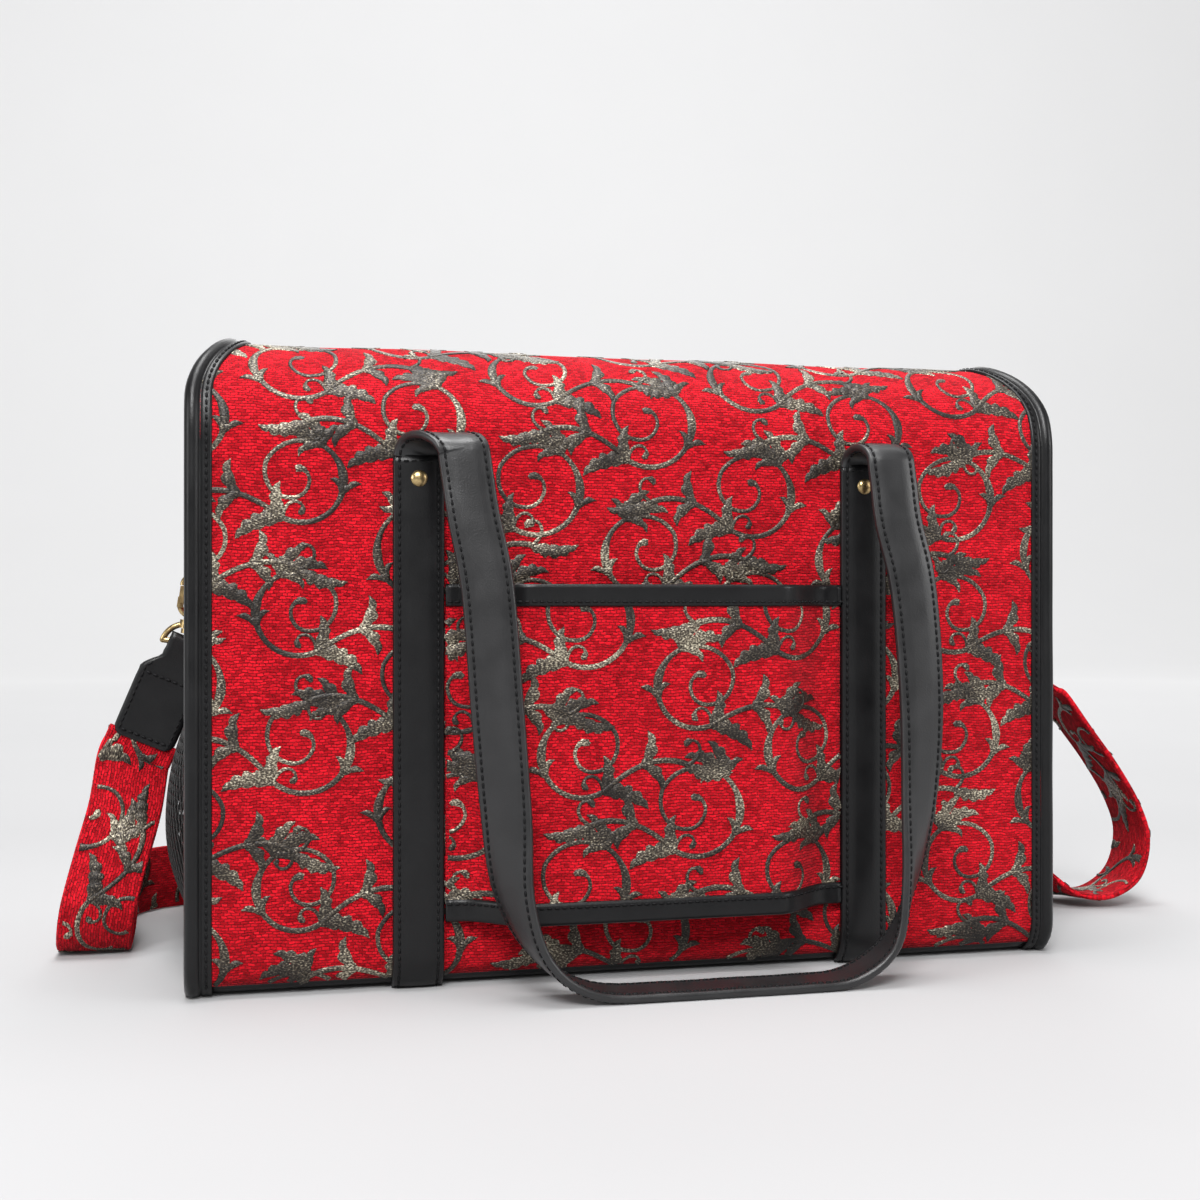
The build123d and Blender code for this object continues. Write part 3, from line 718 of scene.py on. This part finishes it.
# Base. A black leather panel whose seams with the walls run 6 mm up the foot. A stiff board lies
# on it inside the bag.
def leather_base():
    """Base panel from seam to seam, tucked a little into the end bindings."""
    rows, columns = 41, 31
    outer, inner = [], []
    for i in range(rows):
        run = SEAM_RUN * (2 * i / (rows - 1) - 1)
        y, z, normal_y, normal_z = across_bag(abs(run))
        side = -1 if run < 0 else 1
        for j in range(columns):
            x = (HALF_PANEL + 0.004) * (2 * j / (columns - 1) - 1)
            outer.append(Vector((x, side * y, z)))
            inner.append(Vector((x, side * (y - normal_y * WALL_THICK), z - normal_z * WALL_THICK)))
    points, faces = shell(outer, inner, columns)
    carried(build("leather_base", points, faces, LEATHER), node="bottom_panel")


def finish_node(node, material):
    """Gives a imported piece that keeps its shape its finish."""
    piece = bpy.data.objects[node]
    piece.data.materials.clear()
    piece.data.materials.append(material)


leather_base()
BOARD = plain("grey_board", 3, (0.03, 0.03, 0.03), (0.06, 0.06, 0.058), {"Roughness": 0.9}, 4)
finish_node("base_board", BOARD)

# End walls. Each is chenille set back inside its binding, with a round-cornered window. A black
# net bulges out of the window, held by a sewn leather ring.
END_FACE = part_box("right_end_panel")[1].x
WINDOW_HALF = 0.090
WINDOW_LOW = 0.015
WINDOW_HIGH = 0.150
WINDOW_RADIUS = 0.022
WINDOW_MIDDLE = (WINDOW_HIGH + WINDOW_LOW) / 2
NET_BULGE = 0.023
END_THICK = 0.0038


def window_loop(grow):
    """Rounded rectangle of the window, grown on all sides, as y and z pairs with normals."""
    half_y = WINDOW_HALF + grow
    half_z = (WINDOW_HIGH - WINDOW_LOW) / 2 + grow
    radius = WINDOW_RADIUS + grow
    corners = ((1, -1, -90), (1, 1, 0), (-1, 1, 90), (-1, -1, 180))
    points = []
    for sign_y, sign_z, turn in corners:
        for i in range(13):
            angle = math.radians(turn + 90 * i / 12)
            reach_y, reach_z = math.cos(angle), math.sin(angle)
            points.append((sign_y * (half_y - radius) + radius * reach_y,
                           WINDOW_MIDDLE + sign_z * (half_z - radius) + radius * reach_z, reach_y, reach_z))
    loop = []
    for here, after in zip(points, points[1:] + points[:1]):
        gap = math.hypot(after[0] - here[0], after[1] - here[1])
        parts = max(1, round(gap / 0.006))
        for i in range(parts):
            share = i / parts
            loop.append(tuple(a + (b - a) * share for a, b in zip(here, after)))
    return loop


def end_wall_x(z, out):
    """Distance of the end cloth from the bag's middle at a height, out metres off it."""
    return end_reach(z) - (HALF_LENGTH - END_FACE) + out


def outline_reach(y, z, direction_y, direction_z):
    """Distance along a direction from a point to the inside of the binding."""
    low, high = 0.0, 0.4
    room = 0.004
    for _ in range(22):
        middle = (low + high) / 2
        py, pz = abs(y + direction_y * middle), z + direction_z * middle
        inside = room < pz < TOP - room and py < HALF_DEPTH - room
        if inside and pz > TOP - SHOULDER and py > HALF_DEPTH - SHOULDER:
            inside = math.hypot(py - FLAT_TOP, pz - (TOP - SHOULDER)) < SHOULDER - room
        if inside and pz < FOOT and py > HALF_DEPTH - FOOT:
            inside = math.hypot(py - FLAT_BASE, pz - FOOT) < FOOT - room
        low, high = (middle, high) if inside else (low, middle)
    return low


def end_wall(end, name):
    """Cloth from the edge of the window out to the binding, in rays round the window."""
    loop = window_loop(-0.001)
    outer, inner, cloth = [], [], []
    steps = 14
    for y, z, _, _ in loop + loop[:1]:
        aim_y, aim_z = y * 0.9, z - WINDOW_MIDDLE
        size = math.hypot(aim_y, aim_z)
        aim_y, aim_z = aim_y / size, aim_z / size
        reach = outline_reach(y, z, aim_y, aim_z)
        for j in range(steps + 1):
            py, pz = y + aim_y * reach * j / steps, z + aim_z * reach * j / steps
            soft = 0.0008 * noise.noise(Vector((py * 15, pz * 15, end * 4)))
            outer.append(Vector((end * end_wall_x(pz, soft), py, pz)))
            inner.append(Vector((end * end_wall_x(pz, -END_THICK), py, pz)))
            cloth.append((py, pz))
    points, faces = shell(outer, inner, steps + 1)
    if end > 0:
        faces = [tuple(reversed(face)) for face in faces]
    carried(build(f"{name}_end_wall", points, faces, CHENILLE, cloth=cloth + cloth),
            node=f"{name}_end_panel")


def end_inside(u, v):
    """Where an end wall's cloth shows round its window."""
    side, room = abs(u), 0.006
    if v < 0.008 or v > TOP - room or side > HALF_DEPTH - room:
        return False
    rise = v - TOP + SHOULDER
    if rise > 0 and side > FLAT_TOP and math.hypot(side - FLAT_TOP, rise) > SHOULDER - room:
        return False
    if v < FOOT and side > FLAT_BASE:
        return False
    return not (side < WINDOW_HALF + 0.002 and WINDOW_LOW - 0.002 < v < WINDOW_HIGH + 0.002)


NET_CORD = plain("knotted_black_cord", 0.8, (0.005, 0.005, 0.005), (0.03, 0.03, 0.03), {"Roughness": 0.55})


def net_x(y, z):
    """How far the net stands out of the end face, a little more in its lower half."""
    share_y = min(abs(y) / (WINDOW_HALF + 0.002), 1)
    share_z = min(abs(z - WINDOW_MIDDLE) / ((WINDOW_HIGH - WINDOW_LOW) / 2 + 0.002), 1)
    sag = 1 + 0.25 * (WINDOW_MIDDLE - z) / (WINDOW_HIGH - WINDOW_MIDDLE)
    return 0.0004 + NET_BULGE * sag * (1 - share_y ** 2.2) * (1 - share_z ** 2.2)


def window_net(end, name):
    """Net of knotted zigzag cords, one row against the next so that they leave six-sided holes."""
    pitch, tooth, radius = 0.0053, 0.0030, 0.00042
    points, faces = [], []
    for layer in (0, 1):
        row = 0
        z0 = WINDOW_LOW - 0.003
        while z0 < WINDOW_HIGH + 0.004:
            flip = 1 if row % 2 else -1
            previous = None
            steps = round(2 * (WINDOW_HALF + 0.004) / (tooth / 2))
            for i in range(steps + 1):
                y = -WINDOW_HALF - 0.004 + i * tooth / 2
                wave = (0.5, 0.5, -0.5, -0.5)[i % 4]
                z = z0 + flip * wave * pitch * 0.92
                if layer:
                    y, z = y + 0.0011, z + 0.0014
                z += 0.0005 * noise.noise(Vector((y * 300, z * 300, layer + end)))
                if abs(y) > WINDOW_HALF + 0.003 or not WINDOW_LOW - 0.003 < z < WINDOW_HIGH + 0.003:
                    previous = None
                    continue
                out = net_x(y, z) - 0.0012 * layer
                centre = Vector((end * (END_FACE + out), y, z))
                start = len(points)
                for dx, dz in ((1, 0), (-0.5, 0.87), (-0.5, -0.87)):
                    points.append(centre + Vector((dx * radius, 0, dz * radius)))
                if previous is not None:
                    for k in range(3):
                        n = (k + 1) % 3
                        faces.append((previous + k, previous + n, start + n, start + k))
                previous = start
            z0 += pitch
            row += 1
    net = build(f"{name}_window_net", points, faces, NET_CORD)
    carried(net, node=f"{name}_net")


TRIM_PROFILE = ((0.0, 0.0), (0.0002, 0.0030), (0.0010, 0.0038), (0.0022, 0.0036), (0.0040, 0.0041),
                (0.0060, 0.0038), (0.0074, 0.0030), (0.0080, 0.0))


def window_trim(end, name):
    """Leather ring that holds the edge of the net, sewn down all round."""
    rows = []
    for y, z, normal_y, normal_z in window_loop(0):
        row = []
        for grow, out in TRIM_PROFILE:
            py, pz = y + normal_y * grow, z + normal_z * grow
            row.append(Vector((end * end_wall_x(pz, out), py, pz)))
        rows.append(row if end < 0 else row[::-1])
    carried(sweep(f"{name}_window_trim", rows, LEATHER, looped=True), node=f"{name}_net_trim")
    line = []
    for y, z, normal_y, normal_z in window_loop(0):
        py, pz = y + normal_y * 0.0023, z + normal_z * 0.0023
        line.append(Vector((end * end_wall_x(pz, 0.0038), py, pz)))
    sew(f"{name}_trim_stitches", [line + line[:1]])


for end, name in ((-1, "left"), (1, "right")):
    end_wall(end, name)
    weave(f"{name}_end_scrolls",
          lambda u, v, out, end=end: Vector((end * end_wall_x(v, out + 0.0004), u, v)),
          end_inside, (-HALF_DEPTH, HALF_DEPTH), (0, TOP))
    window_net(end, name)
    window_trim(end, name)

# Straps up the walls. Four padded leather strips, 25 by 4 mm, are sewn along both edges from the
# base to the folds of the handles. A domed brass rivet holds each near its top.
STRAP_WIDTH = 0.025
STRAP_THICK = 0.004
STRIP_CENTRE = 0.115
STRIP_TOP = 0.2592
STITCH_EDGE = 0.0031


def strap_profile(width, thick, dome):
    """Section of a sewn strap: soft edges, a dip under each stitch row and a padded middle."""
    half, flat = width / 2, thick / 2
    seam = half - STITCH_EDGE
    side = [(half, 0.0), (half - 0.0003, flat * 0.65), (half - 0.0012, flat), (seam, flat - 0.0003),
            (seam - 0.0014, flat + dome * 0.5), (half * 0.3, flat + dome)]
    under = [(seam, -flat + 0.0002), (half - 0.0012, -flat), (half - 0.0003, -flat * 0.65)]
    upper = side + [(-u, n) for u, n in reversed(side)]
    return upper + [(-u, n) for u, n in reversed(under)] + under


STRAP_SECTION = strap_profile(STRAP_WIDTH, STRAP_THICK, 0.0006)


def strip_point(side, centre, u, run, out):
    """Point on a strip, u across it and out metres off the wall, never below the floor."""
    y, z, normal_y, normal_z = across_bag(run)
    return Vector((centre + u, side * (y + normal_y * out), max(z + normal_z * out, FLOOR_GAP)))


STRIP_RUN_LOW = FLAT_BASE + FOOT * 0.55
STRIP_RUN_HIGH = FLAT_BASE + ARC_FOOT + STRIP_TOP - FOOT
STRIP_RUNS = [STRIP_RUN_LOW + (STRIP_RUN_HIGH - STRIP_RUN_LOW) * i / 70 for i in range(71)]
STITCH_REACH = STRAP_WIDTH / 2 - STITCH_EDGE


def wall_strap(side, wall, end, name):
    """One strip with a row of stitches down each edge and a short row across its top."""
    centre = end * STRIP_CENTRE
    section = STRAP_SECTION if side < 0 else [(-u, n) for u, n in STRAP_SECTION]
    rows = [[strip_point(side, centre, u, run, STRAP_THICK / 2 + n) for u, n in section]
            for run in STRIP_RUNS]
    carried(sweep(f"{wall}_{name}_wall_strap", rows, LEATHER), node=f"{wall}_{name}_strip")
    lines = [[strip_point(side, centre, edge * STITCH_REACH, run, STRAP_THICK - 0.0001)
              for run in STRIP_RUNS] for edge in (-1, 1)]
    lines.append([strip_point(side, centre, 0.001 * k, STRIP_RUN_HIGH - 0.0030, STRAP_THICK + 0.0003)
                  for k in range(-8, 9)])
    sew(f"{wall}_{name}_strap_stitches", lines)


for side, wall in ((-1, "back"), (1, "front")):
    for end, name in ((-1, "left"), (1, "right")):
        wall_strap(side, wall, end, name)


def rivets():
    """Domed brass heads near the tops of the wall straps."""
    low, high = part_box("rivets")
    radius, height = (high.z - low.z) / 2, (high.z + low.z) / 2
    face = HALF_DEPTH + STRAP_THICK
    dome = ((0.0, 0.0022), (0.35, 0.0021), (0.65, 0.0017), (0.88, 0.0010), (1.0, 0.0003), (1.04, -0.0006))
    around = 24
    points, faces = [], []
    for side in (-1, 1):
        for end in (-1, 1):
            base = len(points)
            for share, out in dome:
                for k in range(around):
                    turn = math.tau * k / around * side
                    x = end * STRIP_CENTRE + radius * share * math.cos(turn)
                    points.append(Vector((x, side * (face + out), height + radius * share * math.sin(turn))))
            for ring in range(len(dome) - 1):
                for k in range(around):
                    a, b = base + ring * around, base + (ring + 1) * around
                    faces.append((a + k, b + k, b + (k + 1) % around, a + (k + 1) % around))
    carried(build("domed_rivets", points, faces, BRASS), node="rivets")


rivets()

# Handles. Each is one leather strap that folds over at the top of two wall straps and hangs in a
# loop whose lowest part lies on the floor.
LEG_OUT = 0.1413
FOLD_MIDDLE = 0.1293
FOLD_RADIUS = 0.0120
FOLD_HEIGHT = 0.2575
FOLD_RISE = 0.0092
LEFT_LEG = -0.096
RIGHT_LEG = 0.120
HANDLE_ROUTE = (
    (-94.5, 1.2, 246, 0), (-92, 3.4, 228, 0), (-86, 6.5, 195, 6), (-82, 9.5, 140, 10), (-78, 11, 90, 26),
    (-74, 11.5, 50, 54), (-60, 11.5, 20, 80), (-36, 11.5, 4.5, 90), (0, 11.5, 2.4, 90), (34, 11.5, 2.4, 90),
    (66, 11.5, 2.4, 90), (93, 11.5, 4.5, 90), (115, 11.5, 20, 100), (125, 11.5, 50, 126), (130, 11, 90, 154),
    (132, 9.5, 140, 170), (129, 6.5, 195, 177), (122.5, 3.4, 228, 180), (121, 1.2, 246, 180),
)


def smooth(stations, steps):
    """Stations joined by a smooth curve through every one of them."""
    route = []
    last = len(stations) - 1
    for i in range(last):
        around = [stations[min(max(i + k, 0), last)] for k in (-1, 0, 1, 2)]
        for j in range(steps):
            t = j / steps
            route.append([b + 0.5 * t * (c - a + t * (2 * a - 5 * b + 4 * c - d + t * (3 * (b - c) + d - a)))
                          for a, b, c, d in zip(*around)])
    route.append(list(stations[-1]))
    return route


def framed(route):
    """Centre, direction across and outward normal at each point of a route."""
    places = []
    for i, station in enumerate(route):
        ahead = Vector(route[min(i + 1, len(route) - 1)][:3])
        behind = Vector(route[max(i - 1, 0)][:3])
        along = (ahead - behind).normalized()
        across = Vector(station[3:])
        across = (across - along * across.dot(along)).normalized()
        places.append((Vector(station[:3]), across, across.cross(along)))
    return places


def handle_route():
    """The back handle's whole route: up the wall, over the left fold, round the loop and back up."""
    def fold(wall_x, leg_x, sign):
        """Half turn over the top of a strip, from the wall to the hanging leg."""
        stations = []
        for turn in range(0, 181, 20):
            angle = math.radians(turn)
            share = (1 - math.cos(angle)) / 2
            y = -FOLD_MIDDLE + FOLD_RADIUS * math.cos(angle)
            z = FOLD_HEIGHT + FOLD_RISE * math.sin(angle)
            stations.append((wall_x + (leg_x - wall_x) * share, y, z, sign, 0.0, 0.0))
        return stations
    stations = fold(-STRIP_CENTRE, LEFT_LEG, 1)
    for x, out, z, turn in HANDLE_ROUTE:
        angle = math.radians(turn)
        stations.append((x / 1000, -LEG_OUT - out / 1000, z / 1000, math.cos(angle), -math.sin(angle), 0.0))
    stations += reversed(fold(STRIP_CENTRE, RIGHT_LEG, -1))
    return framed(smooth(stations, 5))


HANDLE_PLACES = handle_route()
for side, wall in ((-1, "back"), (1, "front")):
    turned = [[Vector((p.x * -side, p.y * -side, p.z)) for p in place] for place in HANDLE_PLACES]
    rows = [[c + a * u - n * h for u, h in STRAP_SECTION] for c, a, n in turned]
    body = f"{wall}_handle_body"
    carried(sweep(f"{wall}_carry_handle", rows, HANDLE_LEATHER_PAINTED_SHEEN), body, node=f"{wall}_handle")
    lines = [[c + a * edge * STITCH_REACH - n * out * (STRAP_THICK / 2 - 0.0001) for c, a, n in turned]
             for edge in (-1, 1) for out in (-1, 1)]
    sew(f"{wall}_handle_stitches", lines, body)

# Trolley sleeve. A cloth panel across the back wall that stands off it in the middle, open at the
# top and bottom, with both openings bound in leather.
SLEEVE_HALF = 0.102
SLEEVE_FLAT = 0.062
SLEEVE_BULGE = 0.020
SLEEVE_SEAM = SLEEVE_HALF - 0.006
SLEEVE_FACE = 0.0028
SLEEVE_WEAVE = 0.3
SLEEVE_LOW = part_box("sleeve_bottom_binding")[0].z
SLEEVE_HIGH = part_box("sleeve_top_binding")[1].z


def sleeve_point(x, z, out):
    """Point on the sleeve, out metres off the wall where it is sewn down."""
    share = min(max((SLEEVE_SEAM - abs(x)) / (SLEEVE_SEAM - SLEEVE_FLAT), 0), 1)
    y = HALF_DEPTH + SLEEVE_BULGE * share * share * (3 - 2 * share) + out
    y += 0.0012 * share * noise.noise(Vector((x * 12, z * 12, 7)))
    return Vector((x, -y, z))


def sleeve_cloth():
    """Single sheet of chenille between the two bound edges."""
    outer, inner, cloth = [], [], []
    rows, columns = 40, 61
    for i in range(rows + 1):
        z = SLEEVE_LOW + 0.002 + (SLEEVE_HIGH - SLEEVE_LOW - 0.004) * i / rows
        for j in range(columns):
            x = SLEEVE_HALF * (2 * j / (columns - 1) - 1)
            outer.append(sleeve_point(x, z, SLEEVE_FACE))
            inner.append(sleeve_point(x, z, SLEEVE_FACE - 0.0015))
            cloth.append((x, z + SLEEVE_WEAVE))
    points, faces = shell(outer, inner, columns)
    piece = build("sleeve_cloth", points, faces, CHENILLE, cloth=cloth + cloth)
    carried(piece, node="trolley_sleeve")


def sleeve_inside(u, v):
    """Where the sleeve's cloth shows between its bound edges."""
    return abs(u) < SLEEVE_HALF and SLEEVE_LOW + 0.004 < v - SLEEVE_WEAVE < SLEEVE_HIGH - 0.004


SLEEVE_EDGE = ((0.0, 0.0005), (0.0, 0.0034), (0.0007, 0.0043), (0.0022, 0.0045), (0.0044, 0.0041),
               (0.0090, 0.0044), (0.0104, 0.0040), (0.0110, 0.0028), (0.0108, 0.0005))
sleeve_cloth()
weave("sleeve_scrolls", lambda u, v, out: sleeve_point(u, v - SLEEVE_WEAVE, out + SLEEVE_FACE), sleeve_inside,
      (-SLEEVE_HALF, SLEEVE_HALF), (SLEEVE_WEAVE + SLEEVE_LOW, SLEEVE_WEAVE + SLEEVE_HIGH),
      shift=(0.018, 0.0))
for name, edge, way in (("top", SLEEVE_HIGH, -1), ("bottom", SLEEVE_LOW, 1)):
    xs = [SLEEVE_HALF * (i / 40 - 1) for i in range(81)]
    rows = [[sleeve_point(x, edge + way * rise, out) for rise, out in SLEEVE_EDGE] for x in xs]
    if way > 0:
        rows = [row[::-1] for row in rows]
    carried(sweep(f"sleeve_{name}_edge", rows, LEATHER), node=f"sleeve_{name}_binding")
    sew(f"sleeve_{name}_stitches", [[sleeve_point(x, edge + way * 0.0086, 0.0044) for x in xs]])

# Zipper along the ridge. Leather facings lie on both sides of a woven tape with black teeth.
# Two brass sliders meet in the middle, and a leather tab covers each end.
ZIP_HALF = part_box("zipper_tape")[1].x
for side, wall in ((-1, "back"), (1, "front")):
    long_panel(f"{wall}_zip_facing", side, (GIRTH - FACING_EDGE - 0.001, GIRTH - 0.005), LEATHER, 0.004,
               f"{wall}_facing", proud=0.0012)
    lines = []
    for run in (GIRTH - FACING_EDGE + 0.002, GIRTH - 0.008):
        xs = [ZIP_HALF * (i / 60 - 1) for i in range(121)]
        lines.append([wall_point(side, x, run, 0.0013) for x in xs])
    sew(f"{wall}_facing_stitches", lines)


def woven_tape():
    """Black tape with fine ribs across it."""
    material, shade, place = start_material("woven_black_tape")
    rib = shade.make("ShaderNodeTexWave", None, {"Vector": place, "Scale": 1.4, "Distortion": 0.6})
    tone = rib.blended((0.006, 0.006, 0.007, 1), (0.022, 0.022, 0.024, 1))
    return end_material(material, {"Base Color": tone, "Normal": shade.raised(rib, 0.15)}, {"Roughness": 0.8})


TAPE = woven_tape()
finish_node("zipper_tape", TAPE)


def zipper_teeth():
    """Teeth from both sides of the tape in turn, each with sloping flanks."""
    low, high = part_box("zipper_chain")
    pitch = 0.0021
    points, faces = [], []
    for i in range(round((high.x - low.x) / pitch)):
        x = low.x + pitch * (i + 0.5)
        side = 1 if i % 2 else -1
        base = len(points)
        for y in (-side * 0.0006, side * 0.0028):
            for dx, share in ((-0.0006, 0.3), (-0.0004, 0.96), (0.0004, 0.96), (0.0006, 0.3)):
                points.append(Vector((x + dx, y, low.z + (high.z - low.z) * share)))
        faces += [(base + k, base + (k + 1) % 4, base + 4 + (k + 1) % 4, base + 4 + k) for k in range(4)]
        faces += [tuple(base + k for k in (3, 2, 1, 0)), tuple(base + 4 + k for k in range(4))]
    teeth = build("zipper_teeth", points, faces, TAPE, smooth=False)
    carried(teeth, node="zipper_chain")


zipper_teeth()
for end in ("left", "right"):
    finish_node(f"{end}_zipper_tab", LEATHER)
    for part in ("slider", "pull", "d_ring", "hook", "gate", "strap_ring"):
        finish_node(f"{end}_{part}", BRASS)
    finish_node(f"{end}_ring_tab", LEATHER)

# Shoulder strap. A double cloth strap, 38 mm wide with sewn edges, hangs between two padded leather
# ends. It drops from the left ring to the floor, runs on edge round the front and rises to the right.
RING_BAR_OUT = 229.09
RING_BAR_HEIGHT = 166.32
END_LENGTH = 58
LEFT_LEAN = math.radians(23)
RIGHT_LEAN = math.radians(60)
LONG_WIDTH = 0.038
LONG_THICK = 0.0036
TURN_X = 225
TURN_Y = 81.4
TURN_RADIUS = 40
HALF_WIDTH = 19
LYING = 2.6
ON_EDGE = 19.3


def strap_stations():
    """Stations of the strap in millimetres: centre and direction across."""
    def straight(lean, across):
        """Stretch in line with a leather end, from inside it."""
        return [(-RING_BAR_OUT - math.sin(lean) * d, 0, RING_BAR_HEIGHT - math.cos(lean) * d, *across)
                for d in (END_LENGTH - 3, END_LENGTH + 5, END_LENGTH + 12)]
    left = straight(LEFT_LEAN, (math.cos(LEFT_LEAN), 0, -math.sin(LEFT_LEAN)))
    left += [(-260, -4, 78, 0.94, 0, -0.34), (-267, -11, 51, 0.97, 0, -0.25), (-273, -16, 26, 1, 0, -0.1),
             (-275.5, -9, 9, 1, 0, 0), (-276, 6, LYING, 1, 0, 0)]
    for i in range(1, 5):
        share = i / 4
        roll = math.radians(90 * share)
        rise = HALF_WIDTH * math.sin(roll) + LYING * math.cos(roll) + 0.3 * share
        left.append((-276 + 11 * share, 6 + (TURN_Y - 6) * share, rise, math.cos(roll), 0, math.sin(roll)))
    right = straight(RIGHT_LEAN, (0, -1, 0))
    right += [(-306, 0, 110, 0, -1, 0), (-323, 0, 88, 0, -1, 0),
              (-338, 0, 64, 0, -1, 0), (-345, 0, 42, 0, -1, 0),
              (-339, 0, 19, 0, -1, 0), (-321, 1, 7, 0, -1, 0.05), (-301, 4, 7.5, 0, -1, 0.12),
              (-283, 14, 15.6, 0, -0.85, 0.5), (-270, 34, 19.6, 0, -0.45, 0.85), (-265, 60, 19.6, 0, -0.1, 1),
              (-265, TURN_Y, ON_EDGE, 0, 0, 1)]
    turn = []
    for i in range(1, 5):
        angle = math.radians(22.5 * i)
        x, y = -TURN_X - TURN_RADIUS * math.cos(angle), TURN_Y + TURN_RADIUS * math.sin(angle)
        turn.append((x, y, ON_EDGE, 0, 0, 1))
    turn += [(x, TURN_Y + TURN_RADIUS, ON_EDGE, 0, 0, 1) for x in (-150, -75)]
    back = [(-x, y, z, -a, b, c) for x, y, z, a, b, c in reversed(right + turn)]
    return left + turn + [(0, TURN_Y + TURN_RADIUS, ON_EDGE, 0, 0, 1)] + back


STRAP_ROUTE = smooth(strap_stations(), 8)
STRAP_PLACES = framed([[x / 1000, y / 1000, z / 1000, a, b, c] for x, y, z, a, b, c in STRAP_ROUTE])
STRAP_RUN = [0.0]
for (a, _, _), (b, _, _) in zip(STRAP_PLACES, STRAP_PLACES[1:]):
    STRAP_RUN.append(STRAP_RUN[-1] + (b - a).length)


STRAP_LOWEST = 0.0001


def strap_point(u, run, out):
    """Point on the strap, u across it, run along it and out metres off its middle."""
    run = min(max(run, 0), STRAP_RUN[-1])
    low, high = 0, len(STRAP_RUN) - 1
    while high - low > 1:
        middle = (low + high) // 2
        low, high = (middle, high) if STRAP_RUN[middle] <= run else (low, middle)
    share = (run - STRAP_RUN[low]) / (STRAP_RUN[high] - STRAP_RUN[low])
    centre, across, normal = (p.lerp(q, share) for p, q in zip(STRAP_PLACES[low], STRAP_PLACES[high]))
    point = centre + across.normalized() * u + normal.normalized() * out
    point.z = max(point.z, STRAP_LOWEST)
    return point


def shoulder_strap():
    """The strap's cloth, with turned-in edges and a seam line beside each."""
    half, face = LONG_WIDTH / 2, LONG_THICK / 2
    upper = [(half, 0), (half - 0.0004, face * 0.7), (half - 0.0016, face), (half - 0.0040, face * 0.72),
             (half - 0.0056, face), (0.006, face * 1.1)]
    section = upper + [(-u, n) for u, n in reversed(upper)] + [(-u, -n) for u, n in upper[1:]]
    section += [(u, -n) for u, n in reversed(upper[1:])]
    rows = [[c + a * u + n * h for u, h in section] for c, a, n in STRAP_PLACES]
    rows = [[Vector((p.x, p.y, max(p.z, STRAP_LOWEST))) for p in row] for row in rows]
    cloth = [(run, u) for run in STRAP_RUN for u, h in section]
    strap = sweep("cloth_shoulder_strap", rows, CHENILLE, cloth=cloth)
    carried(strap, node="shoulder_strap")


shoulder_strap()
for out_side, name in ((1, "outer"), (-1, "inner")):
    weave(f"strap_{name}_scrolls",
          lambda u, v, out, way=out_side: strap_point(v, u, way * (out + LONG_THICK * 0.53)),
          lambda u, v: abs(v) < 0.0175 and 0 < u < STRAP_RUN[-1],
          (0, STRAP_RUN[-1]), (-LONG_WIDTH / 2, LONG_WIDTH / 2), shift=(0.01 * out_side, 0.012))

TAB_STATIONS = (
    -3.4, -3.1, -2.2, -0.8, 1.5, 5, 8, 10, 12, 14, 16, 18, 20, 22,
    26, 32, 38, 44, 50, 54, 56, 57.4, 58.2, 58.5,
)
TAB_THICK = 0.0066
TAB_CORNER = 0.0040


def strap_end(end, name, lean, turned):
    """Padded leather end: a neck folded round the ring's bar, widening to a round-cornered tab."""
    down = Vector((end * math.sin(lean), 0, -math.cos(lean)))
    across = Vector((0, 1, 0)) if turned else Vector((math.cos(lean) * -end, 0, -math.sin(lean)))
    normal = across.cross(down)
    start = Vector((end * RING_BAR_OUT / 1000, 0, RING_BAR_HEIGHT / 1000))
    rows, edges = [], [[], [], [], []]
    for mm in TAB_STATIONS:
        grow = min(max((mm - 9) / 11, 0), 1)
        width = 2 * (0.0088 + 0.0082 * grow * grow * (3 - 2 * grow) + 0.0002 * math.sin(mm))
        width -= 2 * TAB_CORNER * max((mm - 53.5) / 5, 0) ** 2.4
        thick = TAB_THICK
        if mm < -1:
            thick *= math.sqrt(max(1 - ((mm + 0.6) / 2.9) ** 2, 0.06))
        if mm > 58.3:
            thick *= 0.75
        place = start + down * mm / 1000
        section = strap_profile(width, thick, 0.0009 if mm > 20 else 0.0)
        rows.append([place + across * u + normal * h for u, h in section])
        if 15 < mm < 56:
            reach, face = width / 2 - STITCH_EDGE, thick / 2 - 0.0001
            for line, (edge, out) in zip(edges, ((-1, 1), (1, 1), (-1, -1), (1, -1))):
                line.append(place + across * edge * reach + normal * out * face)
    carried(sweep(f"{name}_strap_tab", rows, LEATHER), node=f"{name}_strap_end")
    for mm in (22, 55):
        for out in (-1, 1):
            place = start + down * mm / 1000 + normal * out * 0.0035
            edges.append([place + across * u / 1000 for u in range(-13, 14)])
    sew(f"{name}_tab_stitches", edges)


strap_end(-1, "left", LEFT_LEAN, False)
strap_end(1, "right", RIGHT_LEAN, True)
